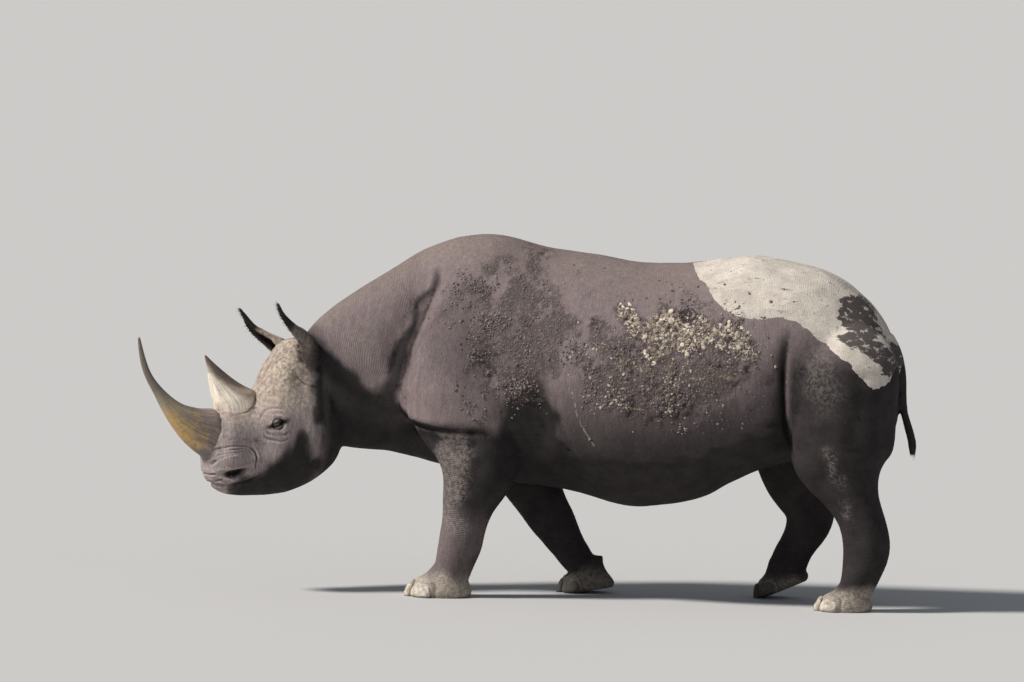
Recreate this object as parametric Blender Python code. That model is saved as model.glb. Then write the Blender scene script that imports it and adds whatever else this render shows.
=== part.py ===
"""A life-size black rhinoceros in a slow walk, head low and turned a little to its left.

The animal faces -X, its left side is -Y and Z is up. The ground is Z = 0 and the origin lies on it,
under the middle of the animal. All sizes are metres and all angles degrees.
"""

import math

import bmesh
import bpy
import numpy as np

# ---------------------------------------------------------------- driving dimensions
GAP = 0.0003  # between two solids that touch
BOX_MIDDLE = (-0.406, -0.085)
# Folds of the left side: path, width, depth and lip. The head's are in head space.
HEAD_FOLDS = {
    "eye socket": ([(0.298, -0.137, 0.727), (0.334, -0.139, 0.727)], 0.030, 0.013, 0.004),
    "mouth": ([(0.045, -0.060, 0.462), (0.110, -0.105, 0.466), (0.250, -0.118, 0.500)], 0.010, 0.010, 0.003),
    "nostril": ([(0.085, -0.098, 0.515), (0.135, -0.112, 0.535)], 0.014, 0.014, 0.005),
}
BODY_FOLDS = {
    "shoulder": ([(-0.850, -0.26, 1.25), (-0.930, -0.27, 1.05), (-0.955, -0.25, 0.86)], 0.030, 0.020, 0.008),
    "flank": ([(0.690, -0.40, 1.15), (0.690, -0.42, 0.95), (0.705, -0.38, 0.70)], 0.030, 0.016, 0.006),
}

FLESH_TRIANGLES = 3500
VOXEL = 0.009  # of the mesh that joins the trunk, the head and the limbs

# Trunk and neck: x, y of the mid-line, top, bottom, half width, egg (above 0 = widest low down).
TRUNK = {
    "tail head": (1.168, 0.000, 0.985, 0.860, 0.040, 0.00),
    "seat": (1.144, 0.000, 1.100, 0.760, 0.150, 0.00),
    "rump": (1.082, 0.000, 1.245, 0.680, 0.245, 0.02),
    "croup": (0.960, 0.000, 1.372, 0.630, 0.315, 0.05),
    "pelvis": (0.820, 0.000, 1.450, 0.635, 0.350, 0.06),
    "hips": (0.680, 0.000, 1.478, 0.610, 0.370, 0.08),
    "flank": (0.520, 0.000, 1.500, 0.552, 0.387, 0.10),
    "loin": (0.350, 0.000, 1.475, 0.462, 0.408, 0.13),
    "paunch": (0.160, 0.000, 1.450, 0.412, 0.424, 0.14),
    "belly": (0.020, 0.000, 1.453, 0.402, 0.428, 0.14),
    "ribs": (-0.180, 0.000, 1.480, 0.445, 0.412, 0.12),
    "girth": (-0.380, 0.000, 1.504, 0.478, 0.376, 0.10),
    "withers": (-0.570, 0.000, 1.549, 0.500, 0.334, 0.08),
    "shoulder": (-0.720, 0.000, 1.543, 0.530, 0.305, 0.05),
    "neck base": (-0.880, 0.000, 1.493, 0.565, 0.262, 0.02),
    "mid neck": (-1.020, -0.004, 1.410, 0.596, 0.232, 0.00),
    "nape": (-1.150, -0.020, 1.325, 0.606, 0.210, 0.00),
    "crest": (-1.270, -0.050, 1.240, 0.630, 0.190, 0.00),
    "atlas": (-1.370, -0.090, 1.150, 0.700, 0.150, 0.00),
    "skull": (-1.430, -0.115, 1.060, 0.780, 0.080, 0.00),
}

# Head: distance behind the lip, top, bottom, half width, egg.
HEAD_PIVOT = (-1.300, -0.070)  # x, y of the neck joint
HEAD_TURN = 35.0  # degrees to the animal's left
LIP_TO_PIVOT = 0.620
HEAD = {
    "lip": (0.030, 0.585, 0.520, 0.028, 0.00),
    "snout": (0.042, 0.650, 0.490, 0.062, 0.05),
    "nostril": (0.070, 0.722, 0.455, 0.092, 0.10),
    "front horn": (0.105, 0.768, 0.428, 0.112, 0.08),
    "mouth": (0.160, 0.785, 0.416, 0.114, 0.04),
    "rear horn": (0.215, 0.808, 0.414, 0.119, 0.04),
    "bridge": (0.265, 0.868, 0.414, 0.130, 0.08),
    "eye": (0.310, 0.950, 0.414, 0.145, 0.12),
    "brow": (0.355, 1.030, 0.418, 0.154, 0.15),
    "poll": (0.410, 1.082, 0.426, 0.160, 0.16),
    "ears": (0.470, 1.090, 0.446, 0.163, 0.14),
    "cheek": (0.540, 1.050, 0.480, 0.157, 0.08),
    "jaw angle": (0.610, 0.950, 0.535, 0.135, 0.00),
    "back": (0.665, 0.820, 0.620, 0.060, 0.00),
}

# Limbs, top to bottom: x, y (of the left side), z, half length fore and aft, half width.
FORE_NEAR = {
    "blade": (-0.660, -0.190, 1.220, 0.140, 0.085),
    "shoulder": (-0.700, -0.225, 1.020, 0.205, 0.120),
    "upper arm": (-0.690, -0.245, 0.840, 0.230, 0.130),
    "elbow": (-0.625, -0.252, 0.660, 0.195, 0.118),
    "forearm": (-0.622, -0.248, 0.530, 0.162, 0.106),
    "mid arm": (-0.650, -0.240, 0.430, 0.124, 0.098),
    "above wrist": (-0.672, -0.230, 0.335, 0.102, 0.090),
    "wrist": (-0.692, -0.225, 0.240, 0.096, 0.090),
    "pastern": (-0.716, -0.222, 0.150, 0.084, 0.085),
    "inside the foot": (-0.730, -0.222, 0.090, 0.075, 0.080),
}
FORE_FAR = {
    "blade": (-0.640, -0.190, 1.220, 0.140, 0.085),
    "shoulder": (-0.670, -0.225, 1.020, 0.200, 0.120),
    "upper arm": (-0.620, -0.245, 0.820, 0.220, 0.128),
    "elbow": (-0.545, -0.245, 0.640, 0.168, 0.112),
    "forearm": (-0.478, -0.238, 0.500, 0.136, 0.100),
    "mid arm": (-0.410, -0.228, 0.375, 0.108, 0.092),
    "above wrist": (-0.340, -0.218, 0.275, 0.095, 0.086),
    "wrist": (-0.292, -0.210, 0.205, 0.076, 0.084),
    "pastern": (-0.250, -0.206, 0.150, 0.070, 0.080),
    "inside the foot": (-0.222, -0.206, 0.110, 0.062, 0.070),
}
HIND_NEAR = {
    "hip": (0.915, -0.160, 1.230, 0.150, 0.110),
    "haunch": (0.940, -0.195, 1.080, 0.222, 0.170),
    "thigh": (0.952, -0.215, 0.900, 0.236, 0.186),
    "stifle": (0.952, -0.228, 0.720, 0.230, 0.168),
    "gaskin": (0.960, -0.236, 0.620, 0.196, 0.140),
    "shank": (0.998, -0.240, 0.510, 0.128, 0.112),
    "above hock": (1.044, -0.240, 0.400, 0.101, 0.098),
    "hock": (1.070, -0.240, 0.275, 0.103, 0.094),
    "cannon": (1.054, -0.240, 0.180, 0.087, 0.088),
    "pastern": (1.032, -0.240, 0.105, 0.074, 0.080),
    "inside the foot": (1.015, -0.240, 0.070, 0.070, 0.075),
}
HIND_FAR = {
    "hip": (0.905, -0.160, 1.230, 0.150, 0.110),
    "haunch": (0.890, -0.195, 1.080, 0.222, 0.170),
    "thigh": (0.830, -0.215, 0.900, 0.236, 0.180),
    "stifle": (0.735, -0.228, 0.730, 0.225, 0.160),
    "gaskin": (0.700, -0.236, 0.600, 0.186, 0.132),
    "shank": (0.732, -0.242, 0.450, 0.130, 0.108),
    "above hock": (0.756, -0.247, 0.370, 0.110, 0.098),
    "hock": (0.738, -0.252, 0.295, 0.093, 0.092),
    "cannon": (0.698, -0.255, 0.220, 0.080, 0.086),
    "pastern": (0.668, -0.256, 0.150, 0.080, 0.084),
    "inside the foot": (0.655, -0.256, 0.110, 0.070, 0.075),
}

# Feet: height above the sole, middle (behind the sole's middle), half length, half width.
FOOT = {
    "sole": (0.000, 0.000, 0.122, 0.106),
    "tread": (0.014, 0.000, 0.136, 0.117),
    "toes": (0.045, 0.004, 0.131, 0.117),
    "coronet": (0.082, 0.024, 0.110, 0.104),
    "ankle": (0.125, 0.046, 0.086, 0.090),
    "inside the leg": (0.165, 0.055, 0.070, 0.070),
}
TOE_ANGLES = (-56.0, 0.0, 56.0)
TOE_SWELL = 0.07  # of the foot's radius, at each toe
# Each foot: x, y and height of the sole's middle, heel lift in degrees, size, and how far it leans forward.
FEET = {
    "front_left": (-0.776, -0.222, -0.004, 0.0, 1.00, 0.0),
    "front_right": (-0.190, 0.206, 0.010, 8.0, 0.87, 0.22),
    "hind_left": (0.985, -0.240, -0.004, 0.0, 0.87, 0.0),
    "hind_right": (0.652, 0.256, 0.040, 23.0, 0.88, 0.0),
}

# Tail: x, y, z, radius.
TAIL = {
    "root": (1.090, 0.000, 1.160, 0.050),
    "dock": (1.140, 0.000, 1.070, 0.038),
    "upper": (1.168, 0.003, 0.960, 0.026),
    "middle": (1.186, 0.008, 0.850, 0.019),
    "lower": (1.212, 0.014, 0.755, 0.017),
    "tuft": (1.229, 0.017, 0.690, 0.022),
    "end": (1.230, 0.018, 0.645, 0.008),
}

# Horns, in head space: front edge (distance behind the lip, height), rear edge, half width.
HORNS = {
    "horn_front": {
        "base": (0.052, 0.556, 0.104, 0.738, 0.074),
        "skin": (0.018, 0.581, 0.067, 0.772, 0.076),
        "low": (-0.022, 0.609, 0.022, 0.783, 0.071),
        "belly": (-0.066, 0.645, -0.030, 0.795, 0.063),
        "bend": (-0.119, 0.702, -0.085, 0.816, 0.051),
        "curve": (-0.169, 0.775, -0.140, 0.847, 0.038),
        "shaft": (-0.214, 0.852, -0.192, 0.892, 0.027),
        "point": (-0.258, 0.928, -0.232, 0.950, 0.018),
        "thorn": (-0.287, 1.005, -0.263, 1.022, 0.012),
        "tip": (-0.305, 1.096, -0.298, 1.104, 0.004),
    },
    "horn_rear": {
        "base": (0.092, 0.745, 0.274, 0.803, 0.060),
        "skin": (0.076, 0.792, 0.264, 0.856, 0.063),
        "low": (0.060, 0.840, 0.222, 0.880, 0.053),
        "blade": (0.045, 0.895, 0.150, 0.920, 0.036),
        "upper": (0.033, 0.949, 0.096, 0.960, 0.023),
        "point": (0.026, 0.988, 0.056, 0.993, 0.012),
        "tip": (0.018, 1.017, 0.024, 1.022, 0.003),
    },
}

# Ears, in head space on the left side: distance behind the lip, side, height, radius, opening angle.
EAR = {
    "root": (0.500, -0.095, 0.980, 0.045, 4.0),
    "tube": (0.462, -0.118, 1.045, 0.048, 12.0),
    "cup": (0.415, -0.140, 1.100, 0.054, 42.0),
    "blade": (0.360, -0.160, 1.150, 0.045, 62.0),
    "fold": (0.305, -0.178, 1.195, 0.026, 72.0),
    "tip": (0.268, -0.188, 1.246, 0.008, 80.0),
}
EAR_WALL = 0.019
EAR_SPREAD = {1: 0.0, -1: 12.0}  # degrees that the left and the right ear lean outward
EAR_OPENS = (-0.75, -0.62, 0.15)  # the way the left ear's opening looks, in head space

EYE = (0.316, -0.115, 0.727)  # the left eye's middle, in head space
EYE_RADIUS = 0.024

# Nails: three to a foot, flattened against the toes.
NAIL_REACH = 0.97  # of the foot's own radius
NAIL_HEIGHT = 0.034  # of the middle, above the sole
NAIL_RADII = (0.014, 0.034, 0.036)
NAIL_CENTRE = 1.2  # times as large on the middle toe

# Where the flesh is parted: low and high corners of boxes.
ANKLE_HEIGHT = 0.118
LOWER_LEGS = {
    "front_left": ((-1.00, -0.45, -0.10), (-0.44, -0.05, 0.475)),
    "front_right": ((-0.75, 0.05, -0.10), (-0.03, 0.45, 0.390)),
    "hind_left": ((0.60, -0.45, -0.10), (1.35, -0.05, 0.500)),
    "hind_right": ((0.40, 0.05, -0.10), (1.20, 0.45, 0.460)),
}
UPPER_LEGS = {  # given for the left side; each top slopes up and outward
    "front_left": (1, (-0.93, -0.50, 0.30), (-0.43, -0.09, 0.55), 0.33),
    "front_right": (-1, (-0.90, -0.50, 0.30), (-0.29, -0.09, 0.52), 0.36),
    "hind_left": (1, (0.695, -0.50, 0.40), (1.35, -0.07, 0.66), 0.36),
    "hind_right": (-1, (0.49, -0.50, 0.40), (1.25, -0.07, 0.66), 0.36),
}
EAR_BOX = ((-0.10, -0.10, 0.00), (0.10, 0.10, 0.35))  # above the ear's root, along the ear
EAR_ROOT = (0.466, -0.116, 1.045)
EAR_TILT = (-40.0, -14.0)  # degrees forward and outward
HEAD_BOX = ((-0.60, -0.40, 0.20), (0.52, 0.40, 1.40))
HEAD_SLANT = 0.26  # how much farther back the head's box reaches at its bottom than at its top
NECK_BOX = ((-2.00, -0.60, 0.20), (-0.90, 0.60, 1.70))
TAIL_BOX = ((1.150, -0.05, 0.55), (1.40, 0.06, 0.90))

# Colour, roughness.
MATERIALS = {
    "hide": ((0.20, 0.165, 0.145), 0.9),
    "horn": ((0.16, 0.115, 0.075), 0.55),
    "nail": ((0.42, 0.37, 0.30), 0.6),
    "eye": ((0.012, 0.009, 0.008), 0.08),
}


def smooth_curve(rows, count, chord_columns):
    """A natural cubic curve through the rows of a table, read at `count` even steps of chord length."""
    rows = np.array(list(rows), float)
    steps = np.linalg.norm(np.diff(rows[:, chord_columns], axis=0), axis=1)
    knots = np.concatenate([[0.0], np.cumsum(steps)])
    n = len(knots)
    matrix, right = np.eye(n), np.zeros_like(rows)
    for i in range(1, n - 1):
        before, after = knots[i] - knots[i - 1], knots[i + 1] - knots[i]
        matrix[i, i - 1 : i + 2] = before, 2 * (before + after), after
        right[i] = 6 * ((rows[i + 1] - rows[i]) / after - (rows[i] - rows[i - 1]) / before)
    bend = np.linalg.solve(matrix, right)
    t = np.linspace(0, knots[-1], count)
    k = np.clip(np.searchsorted(knots, t, side="right") - 1, 0, n - 2)
    width = (knots[k + 1] - knots[k])[:, None]
    a = (knots[k + 1] - t)[:, None] / width
    b = 1 - a
    return (
        a * rows[k]
        + b * rows[k + 1]
        + ((a**3 - a) * bend[k] + (b**3 - b) * bend[k + 1]) * width**2 / 6
    )


def rounded(value, fullness):
    """A sine or cosine with its corners filled out: fullness under 1 makes an ellipse squarer."""
    return np.sign(value) * np.abs(value) ** fullness


def loft(rings):
    """A closed mesh over rings of points, an array (rings, points, 3), each end closed by a fan."""
    count, around = rings.shape[:2]
    points = np.concatenate([rings.reshape(-1, 3), rings[:1].mean(1), rings[-1:].mean(1)])
    first, last = count * around, count * around + 1
    index = np.arange(count * around).reshape(count, around)
    turned = np.roll(index, -1, axis=1)
    sides = np.stack([index[:-1], index[1:], turned[1:], turned[:-1]], axis=-1).reshape(-1, 4)
    faces = [tuple(int(i) for i in face) for face in sides]
    for i in range(around):
        j = (i + 1) % around
        faces.append((first, int(index[0, i]), int(index[0, j])))
        faces.append((last, int(index[-1, j]), int(index[-1, i])))
    return points, faces


def trunk_rings(count=90, around=64):
    """Upright egg-shaped rings along the mid-line: half width by the cosine, height by the sine."""
    x, y, top, bottom, half_width, egg = smooth_curve(TRUNK.values(), count, [0, 2]).T[:, :, None]
    angle = np.linspace(0, 2 * math.pi, around, endpoint=False)[None, :]
    across, up = rounded(np.cos(angle), 0.92), rounded(np.sin(angle), 0.95)
    side = y + half_width * across * (1 - egg * up)
    height = (top + bottom) / 2 + (top - bottom) / 2 * up
    return np.stack(np.broadcast_arrays(x, side, height), axis=-1)


def turned(axis, degrees):
    """A 3 x 3 turn about the x, y or z axis."""
    c, s = math.cos(math.radians(degrees)), math.sin(math.radians(degrees))
    i, j = {"x": (1, 2), "y": (2, 0), "z": (0, 1)}[axis]
    matrix = np.eye(3)
    matrix[i, i] = matrix[j, j] = c
    matrix[i, j], matrix[j, i] = -s, s
    return matrix


def from_head(points):
    """From head space to the world: in head space the lip is at x = 0 and the head looks along -x."""
    turn = turned("z", HEAD_TURN)
    lip = np.array([*HEAD_PIVOT, 0.0]) - turn @ [LIP_TO_PIVOT, 0, 0]
    return points @ turn.T + lip


def head_rings(count=70, around=56):
    """Upright rings from the lip to the back of the jaw, in head space."""
    s, top, bottom, half_width, egg = smooth_curve(HEAD.values(), count, [0, 1]).T[:, :, None]
    angle = np.linspace(0, 2 * math.pi, around, endpoint=False)[None, :]
    across, up = rounded(np.cos(angle), 0.85), rounded(np.sin(angle), 0.85)
    side = half_width * across * (1 - egg * up)
    height = (top + bottom) / 2 + (top - bottom) / 2 * up
    return from_head(np.stack(np.broadcast_arrays(s, side, height), axis=-1))


def foot_rings(count=30, around=48):
    """A foot standing at the origin and facing -x: ovals with three toes swelling in front."""
    height, middle, length, width = smooth_curve(FOOT.values(), count, [0, 1]).T[:, :, None]
    angle = np.linspace(-math.pi, math.pi, around, endpoint=False)[None, :]
    toes = sum(np.exp(-(((np.degrees(angle) - toe) / 20) ** 2)) for toe in TOE_ANGLES)
    swell = 1 + TOE_SWELL * (toes - 0.6) * np.clip(1 - height / 0.12, 0, 1)
    x = middle - length * np.cos(angle) * swell
    y = width * np.sin(angle) * swell
    return np.stack(np.broadcast_arrays(x, y, height), axis=-1)


def from_foot(points, foot):
    """Stands a foot in its place: leaning slides it forward as it rises, and lifting the heel tips it."""
    x, y, height, heel, size, lean = FEET[foot]
    slide = np.array([[1, 0, -lean], [0, 1, 0], [0, 0, 1]])
    return size * points @ (turned("y", -heel) @ slide).T + [x, y, height]


def tube_rings(middle, across_axis, first, second, around):
    """Rings square to a path: `first` radii in the plane of the path, `second` radii across it."""
    along = np.gradient(middle, axis=0)
    along /= np.linalg.norm(along, axis=1)[:, None]
    inward = np.cross(along, across_axis)
    inward /= np.linalg.norm(inward, axis=1)[:, None]
    across = np.cross(inward, along)
    angle = np.linspace(0, 2 * math.pi, around, endpoint=False)[None, :, None]
    return (
        middle[:, None]
        + np.cos(angle) * first[:, None, None] * inward[:, None]
        + np.sin(angle) * second[:, None, None] * across[:, None]
    )


def limb_rings(stations, side, count=60, around=40):
    """A limb: half lengths lie fore and aft, half widths across. Side is 1 for the left, -1 right."""
    table = smooth_curve(stations.values(), count, [0, 2])
    return tube_rings(table[:, :3] * [1, side, 1], [0, 1, 0], table[:, 3], table[:, 4], around)


def tail_rings(count=40, around=16):
    """The tail, round in section."""
    table = smooth_curve(TAIL.values(), count, [0, 2])
    return tube_rings(table[:, :3], [0, 1, 0], table[:, 3], table[:, 3], around)


def horn_rings(horn, grow=0.0, count=12, around=14):
    """A horn in the head's mid-plane: ovals that span its front and rear edges, from the snout to the tip."""
    table = smooth_curve(HORNS[horn].values(), count, [0, 1, 2, 3])
    middle, half = (table[:, :2] + table[:, 2:4]) / 2, (table[:, 2:4] - table[:, :2]) / 2
    half *= 1 + grow / np.linalg.norm(half, axis=1)[:, None]
    middle[0] -= grow * (middle[1] - middle[0]) / np.linalg.norm(middle[1] - middle[0])
    angle = np.linspace(0, 2 * math.pi, around, endpoint=False)[None, :]
    place = middle[:, None] + half[:, None] * np.cos(angle)[..., None]
    across = (table[:, 4:] + grow) * np.sin(angle)
    return from_head(np.stack([place[..., 0], across, place[..., 1]], axis=-1))


def ear_rings(side, count=30, around=20):
    """An ear: C-shaped rings, an outer arc and back along an inner one, open on one side."""
    table = smooth_curve(EAR.values(), count, [0, 1, 2])
    middle, radius, opening = table[:, :3], table[:, 3], np.radians(table[:, 4])
    along = np.gradient(middle, axis=0)
    along /= np.linalg.norm(along, axis=1)[:, None]
    front = np.array(EAR_OPENS) - (along @ EAR_OPENS)[:, None] * along
    front /= np.linalg.norm(front, axis=1)[:, None]
    across = np.cross(along, front)
    sweep = np.linspace(0, 1, around)[None, :]
    outer = opening[:, None] + sweep * (2 * math.pi - 2 * opening[:, None])
    hollow = np.linspace(0.1, 1, count) ** 0.5 * np.maximum(radius - EAR_WALL, 0.25 * radius)
    angle = np.concatenate([outer, outer[:, ::-1]], axis=1)[:, :, None]
    reach = np.concatenate([np.repeat(radius[:, None], around, 1), np.repeat(hollow[:, None], around, 1)], 1)
    rings = middle[:, None] + reach[:, :, None] * (
        np.cos(angle) * front[:, None] + np.sin(angle) * across[:, None]
    )
    root = middle[0]
    rings = (rings - root) @ turned("x", EAR_SPREAD[side]).T + root
    return from_head(rings * [1, side, 1])


def closed_mesh(name, points, faces):
    """An object of the given mesh, with its faces turned outward."""
    mesh = bpy.data.meshes.new(name)
    mesh.from_pydata([tuple(p) for p in np.asarray(points, float)], [], faces)
    work = bmesh.new()
    work.from_mesh(mesh)
    bmesh.ops.recalc_face_normals(work, faces=work.faces)
    work.to_mesh(mesh)
    work.free()
    thing = bpy.data.objects.new(name, mesh)
    bpy.context.collection.objects.link(thing)
    return thing


def lofted(name, rings):
    """A loft as an object."""
    return closed_mesh(name, *loft(rings))


def cup_loft(rings):
    """A loft over C-shaped rings: each end is a strip between the outer and the inner arc."""
    count, around = rings.shape[:2]
    points, faces = loft(rings)
    faces = [face for face in faces if len(face) == 4]
    for row in (0, count - 1):
        for i in range(around // 2 - 1):
            outer, inner = row * around + i, row * around + around - 1 - i
            faces.append((outer, outer + 1, inner - 1, inner))
    return points[:-2], faces


def ball(name, middle, radii, turn=None, rows=4, around=8):
    """An ellipsoid with its pole along its own z axis."""
    polar = np.linspace(0, math.pi, rows + 2)[1:-1, None]
    angle = np.linspace(0, 2 * math.pi, around, endpoint=False)[None, :]
    rings = np.stack(
        np.broadcast_arrays(np.sin(polar) * np.cos(angle), np.sin(polar) * np.sin(angle), np.cos(polar)),
        axis=-1,
    )
    points, faces = loft(rings)
    points[-2:] = [[0, 0, 1], [0, 0, -1]]
    turn = np.eye(3) if turn is None else turn
    return closed_mesh(name, (points * radii) @ turn.T + middle, faces)


def block(name, low, high, place=None):
    """A box between two corners, its corners carried by `place` if one is given."""
    corners = np.array([[x, y, z] for x in (0, 1) for y in (0, 1) for z in (0, 1)], float)
    corners = np.array(low) + corners * (np.array(high) - np.array(low))
    faces = [(0, 1, 3, 2), (4, 6, 7, 5), (0, 4, 5, 1), (2, 3, 7, 6), (0, 2, 6, 4), (1, 5, 7, 3)]
    return closed_mesh(name, place(corners) if place else corners, faces)


def remove(thing):
    """Takes a finished helper out of the scene."""
    bpy.data.objects.remove(thing)


def bake(thing):
    """Makes the modifiers' result the object's own mesh."""
    graph = bpy.context.evaluated_depsgraph_get()
    mesh = bpy.data.meshes.new_from_object(thing.evaluated_get(graph))
    thing.modifiers.clear()
    thing.data = mesh


def combine(thing, other, operation):
    """Applies an exact Boolean with another object, which is then removed."""
    cut = thing.modifiers.new(operation.lower(), "BOOLEAN")
    cut.object = other
    cut.operation = operation
    cut.solver = "EXACT"
    bake(thing)
    remove(other)


def fold(points, normals, path, width, depth, lip=0.0):
    """Presses a groove along a path: depth * exp(-(d / width)^2) inward, with a swollen lip beside it.

    Below, d is a point's distance from the path, and the lip stands at 2.2 widths from it."""
    path = np.asarray(path, float)
    nearest = np.full(len(points), 1e9)
    for a, b in zip(path[:-1], path[1:]):
        along = np.clip(((points - a) @ (b - a)) / ((b - a) @ (b - a)), 0, 1)[:, None]
        nearest = np.minimum(nearest, np.linalg.norm(points - a - along * (b - a), axis=1))
    groove = depth * np.exp(-((nearest / width) ** 2))
    swell = lip * np.exp(-(((nearest - 2.2 * width) / width) ** 2))
    return points + (swell - groove)[:, None] * normals


# ---------------------------------------------------------------- building
def whole_flesh():
    """Trunk, neck, head, ears, limbs and tail as one smooth skin with its main folds, standing flat."""
    pieces = [lofted("trunk form", trunk_rings()), lofted("head form", head_rings())]
    pieces += [lofted("tail form", tail_rings())]
    pieces += [closed_mesh("ear form", *cup_loft(ear_rings(side))) for side in (1, -1)]
    pieces += [lofted("limb form", limb_rings(FORE_NEAR, 1)), lofted("limb form", limb_rings(HIND_NEAR, 1))]
    pieces += [lofted("limb form", limb_rings(FORE_FAR, -1)), lofted("limb form", limb_rings(HIND_FAR, -1))]
    pieces += [lofted("foot form", from_foot(foot_rings(), foot)) for foot in FEET]
    joined = bmesh.new()
    for piece in pieces:
        joined.from_mesh(piece.data)
        remove(piece)
    mesh = bpy.data.meshes.new("flesh")
    joined.to_mesh(mesh)
    joined.free()
    flesh = bpy.data.objects.new("flesh", mesh)
    bpy.context.collection.objects.link(flesh)
    remesh = flesh.modifiers.new("join", "REMESH")
    remesh.mode = "VOXEL"
    remesh.voxel_size = VOXEL
    smooth = flesh.modifiers.new("soften", "SMOOTH")
    smooth.factor = 0.5
    smooth.iterations = 10
    bake(flesh)
    press_folds(flesh.data)
    thin = flesh.modifiers.new("thin", "DECIMATE")
    thin.ratio = FLESH_TRIANGLES / (2 * len(flesh.data.polygons))
    bake(flesh)
    combine(flesh, block("ground", (-3, -2, -1), (3, 2, 0)), "DIFFERENCE")
    return flesh


def press_folds(mesh):
    """The folds that change the animal's outline or its main forms."""
    count = len(mesh.vertices)
    points, normals = np.empty(count * 3), np.empty(count * 3)
    mesh.vertices.foreach_get("co", points)
    mesh.vertices.foreach_get("normal", normals)
    points, normals = points.reshape(-1, 3), normals.reshape(-1, 3)
    for path, width, depth, lip in body_folds():
        points = fold(points, normals, path, width, depth, lip)
    mesh.vertices.foreach_set("co", points.ravel())
    mesh.update()


def body_folds():
    """Each main fold of both sides: its path in the world, width, depth and lip."""
    folds = []
    for side in (1, -1):
        for path, *sizes in HEAD_FOLDS.values():
            folds.append((from_head(np.array(path) * [1, side, 1]), *sizes))
        for path, *sizes in BODY_FOLDS.values():
            folds.append((np.array(path) * [1, side, 1], *sizes))
    return folds


def drop_crumbs(thing):
    """Deletes every loose piece but the largest."""
    work = bmesh.new()
    work.from_mesh(thing.data)
    left, pieces = set(work.verts), []
    while left:
        front = [left.pop()]
        piece = set(front)
        while front:
            for edge in front.pop().link_edges:
                for vertex in edge.verts:
                    if vertex in left:
                        left.remove(vertex)
                        piece.add(vertex)
                        front.append(vertex)
        pieces.append(piece)
    largest = max(pieces, key=len)
    bmesh.ops.delete(work, geom=[v for v in work.verts if v not in largest], context="VERTS")
    work.to_mesh(thing.data)
    work.free()


def part_off(flesh, name, low, high, place=None):
    """Takes the part of the flesh inside a box, and cuts the box out of the rest a little wider."""
    low, high = np.array(low, float), np.array(high, float)
    part = bpy.data.objects.new(name, flesh.data.copy())
    bpy.context.collection.objects.link(part)
    combine(part, block("inside", low, high, place), "INTERSECT")
    combine(flesh, block("outside", low - GAP, high + GAP, place), "DIFFERENCE")
    drop_crumbs(part)


def sloped(side, rise):
    """A place for a box on one side of the body: its outer top corners stand higher by `rise`."""

    def place(points):
        outer = points[:, 1] < points[:, 1].mean()
        upper = points[:, 2] > points[:, 2].mean()
        return (points + np.outer(outer & upper, [0, 0, rise])) * [1, side, 1]

    return place


def behind_jaw(points):
    """A place for the head's box: its lower rear corners reach farther back, behind the jaw."""
    rear = points[:, 0] > points[:, 0].mean()
    lower = points[:, 2] < points[:, 2].mean()
    return from_head(points + np.outer(rear & lower, [HEAD_SLANT, 0, 0]))


def on_ear(side):
    """A place for a box that stands on an ear's root and leans along the ear."""
    forward, outward = EAR_TILT
    turn = turned("x", -outward + EAR_SPREAD[side]) @ turned("y", forward)
    return lambda points: from_head((points @ turn.T + EAR_ROOT) * [1, side, 1])


def build_horns(flesh):
    """The two horns, each set into the snout, the front one cut back where the rear one stands."""
    for horn in HORNS:
        lofted(horn, horn_rings(horn))
        combine(flesh, lofted("bed", horn_rings(horn, GAP)), "DIFFERENCE")
    front = bpy.data.objects["horn_front"]
    combine(front, lofted("rear horn's place", horn_rings("horn_rear", GAP)), "DIFFERENCE")


def build_eyes(flesh):
    """The eyeballs, each in its socket."""
    for name, side in (("eye_left", 1), ("eye_right", -1)):
        middle = from_head(np.array(EYE) * [1, side, 1])
        ball(name, middle, np.full(3, EYE_RADIUS), rows=6, around=12)
        socket = ball("socket", middle, np.full(3, EYE_RADIUS + GAP), rows=6, around=12)
        combine(flesh, socket, "DIFFERENCE")


def build_nails(flesh):
    """Three nails on each foot: flattened ellipsoids set into the toes, cut off at the ground."""
    for foot in FEET:
        for number, toe in enumerate(TOE_ANGLES, 1):
            out = np.array([-math.cos(math.radians(toe)), math.sin(math.radians(toe)), 0])
            reach = NAIL_REACH * np.array([FOOT["toes"][2], FOOT["toes"][3], 0])
            middle = np.append(out[:2] * reach[:2] + [FOOT["toes"][1], 0], NAIL_HEIGHT)
            turn = turned("z", -toe)
            heel, size = FEET[foot][3:5]
            turn = turned("y", -heel) @ turn
            middle = from_foot(middle, foot)
            radii = np.array(NAIL_RADII) * size * (NAIL_CENTRE if toe == 0 else 1)
            nail = ball(f"nail_{foot}_{number}", middle, radii, turn)
            combine(flesh, ball("bed", middle, radii + GAP, turn), "DIFFERENCE")
            combine(nail, block("ground", (-3, -2, -1), (3, 2, 0)), "DIFFERENCE")


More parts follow.
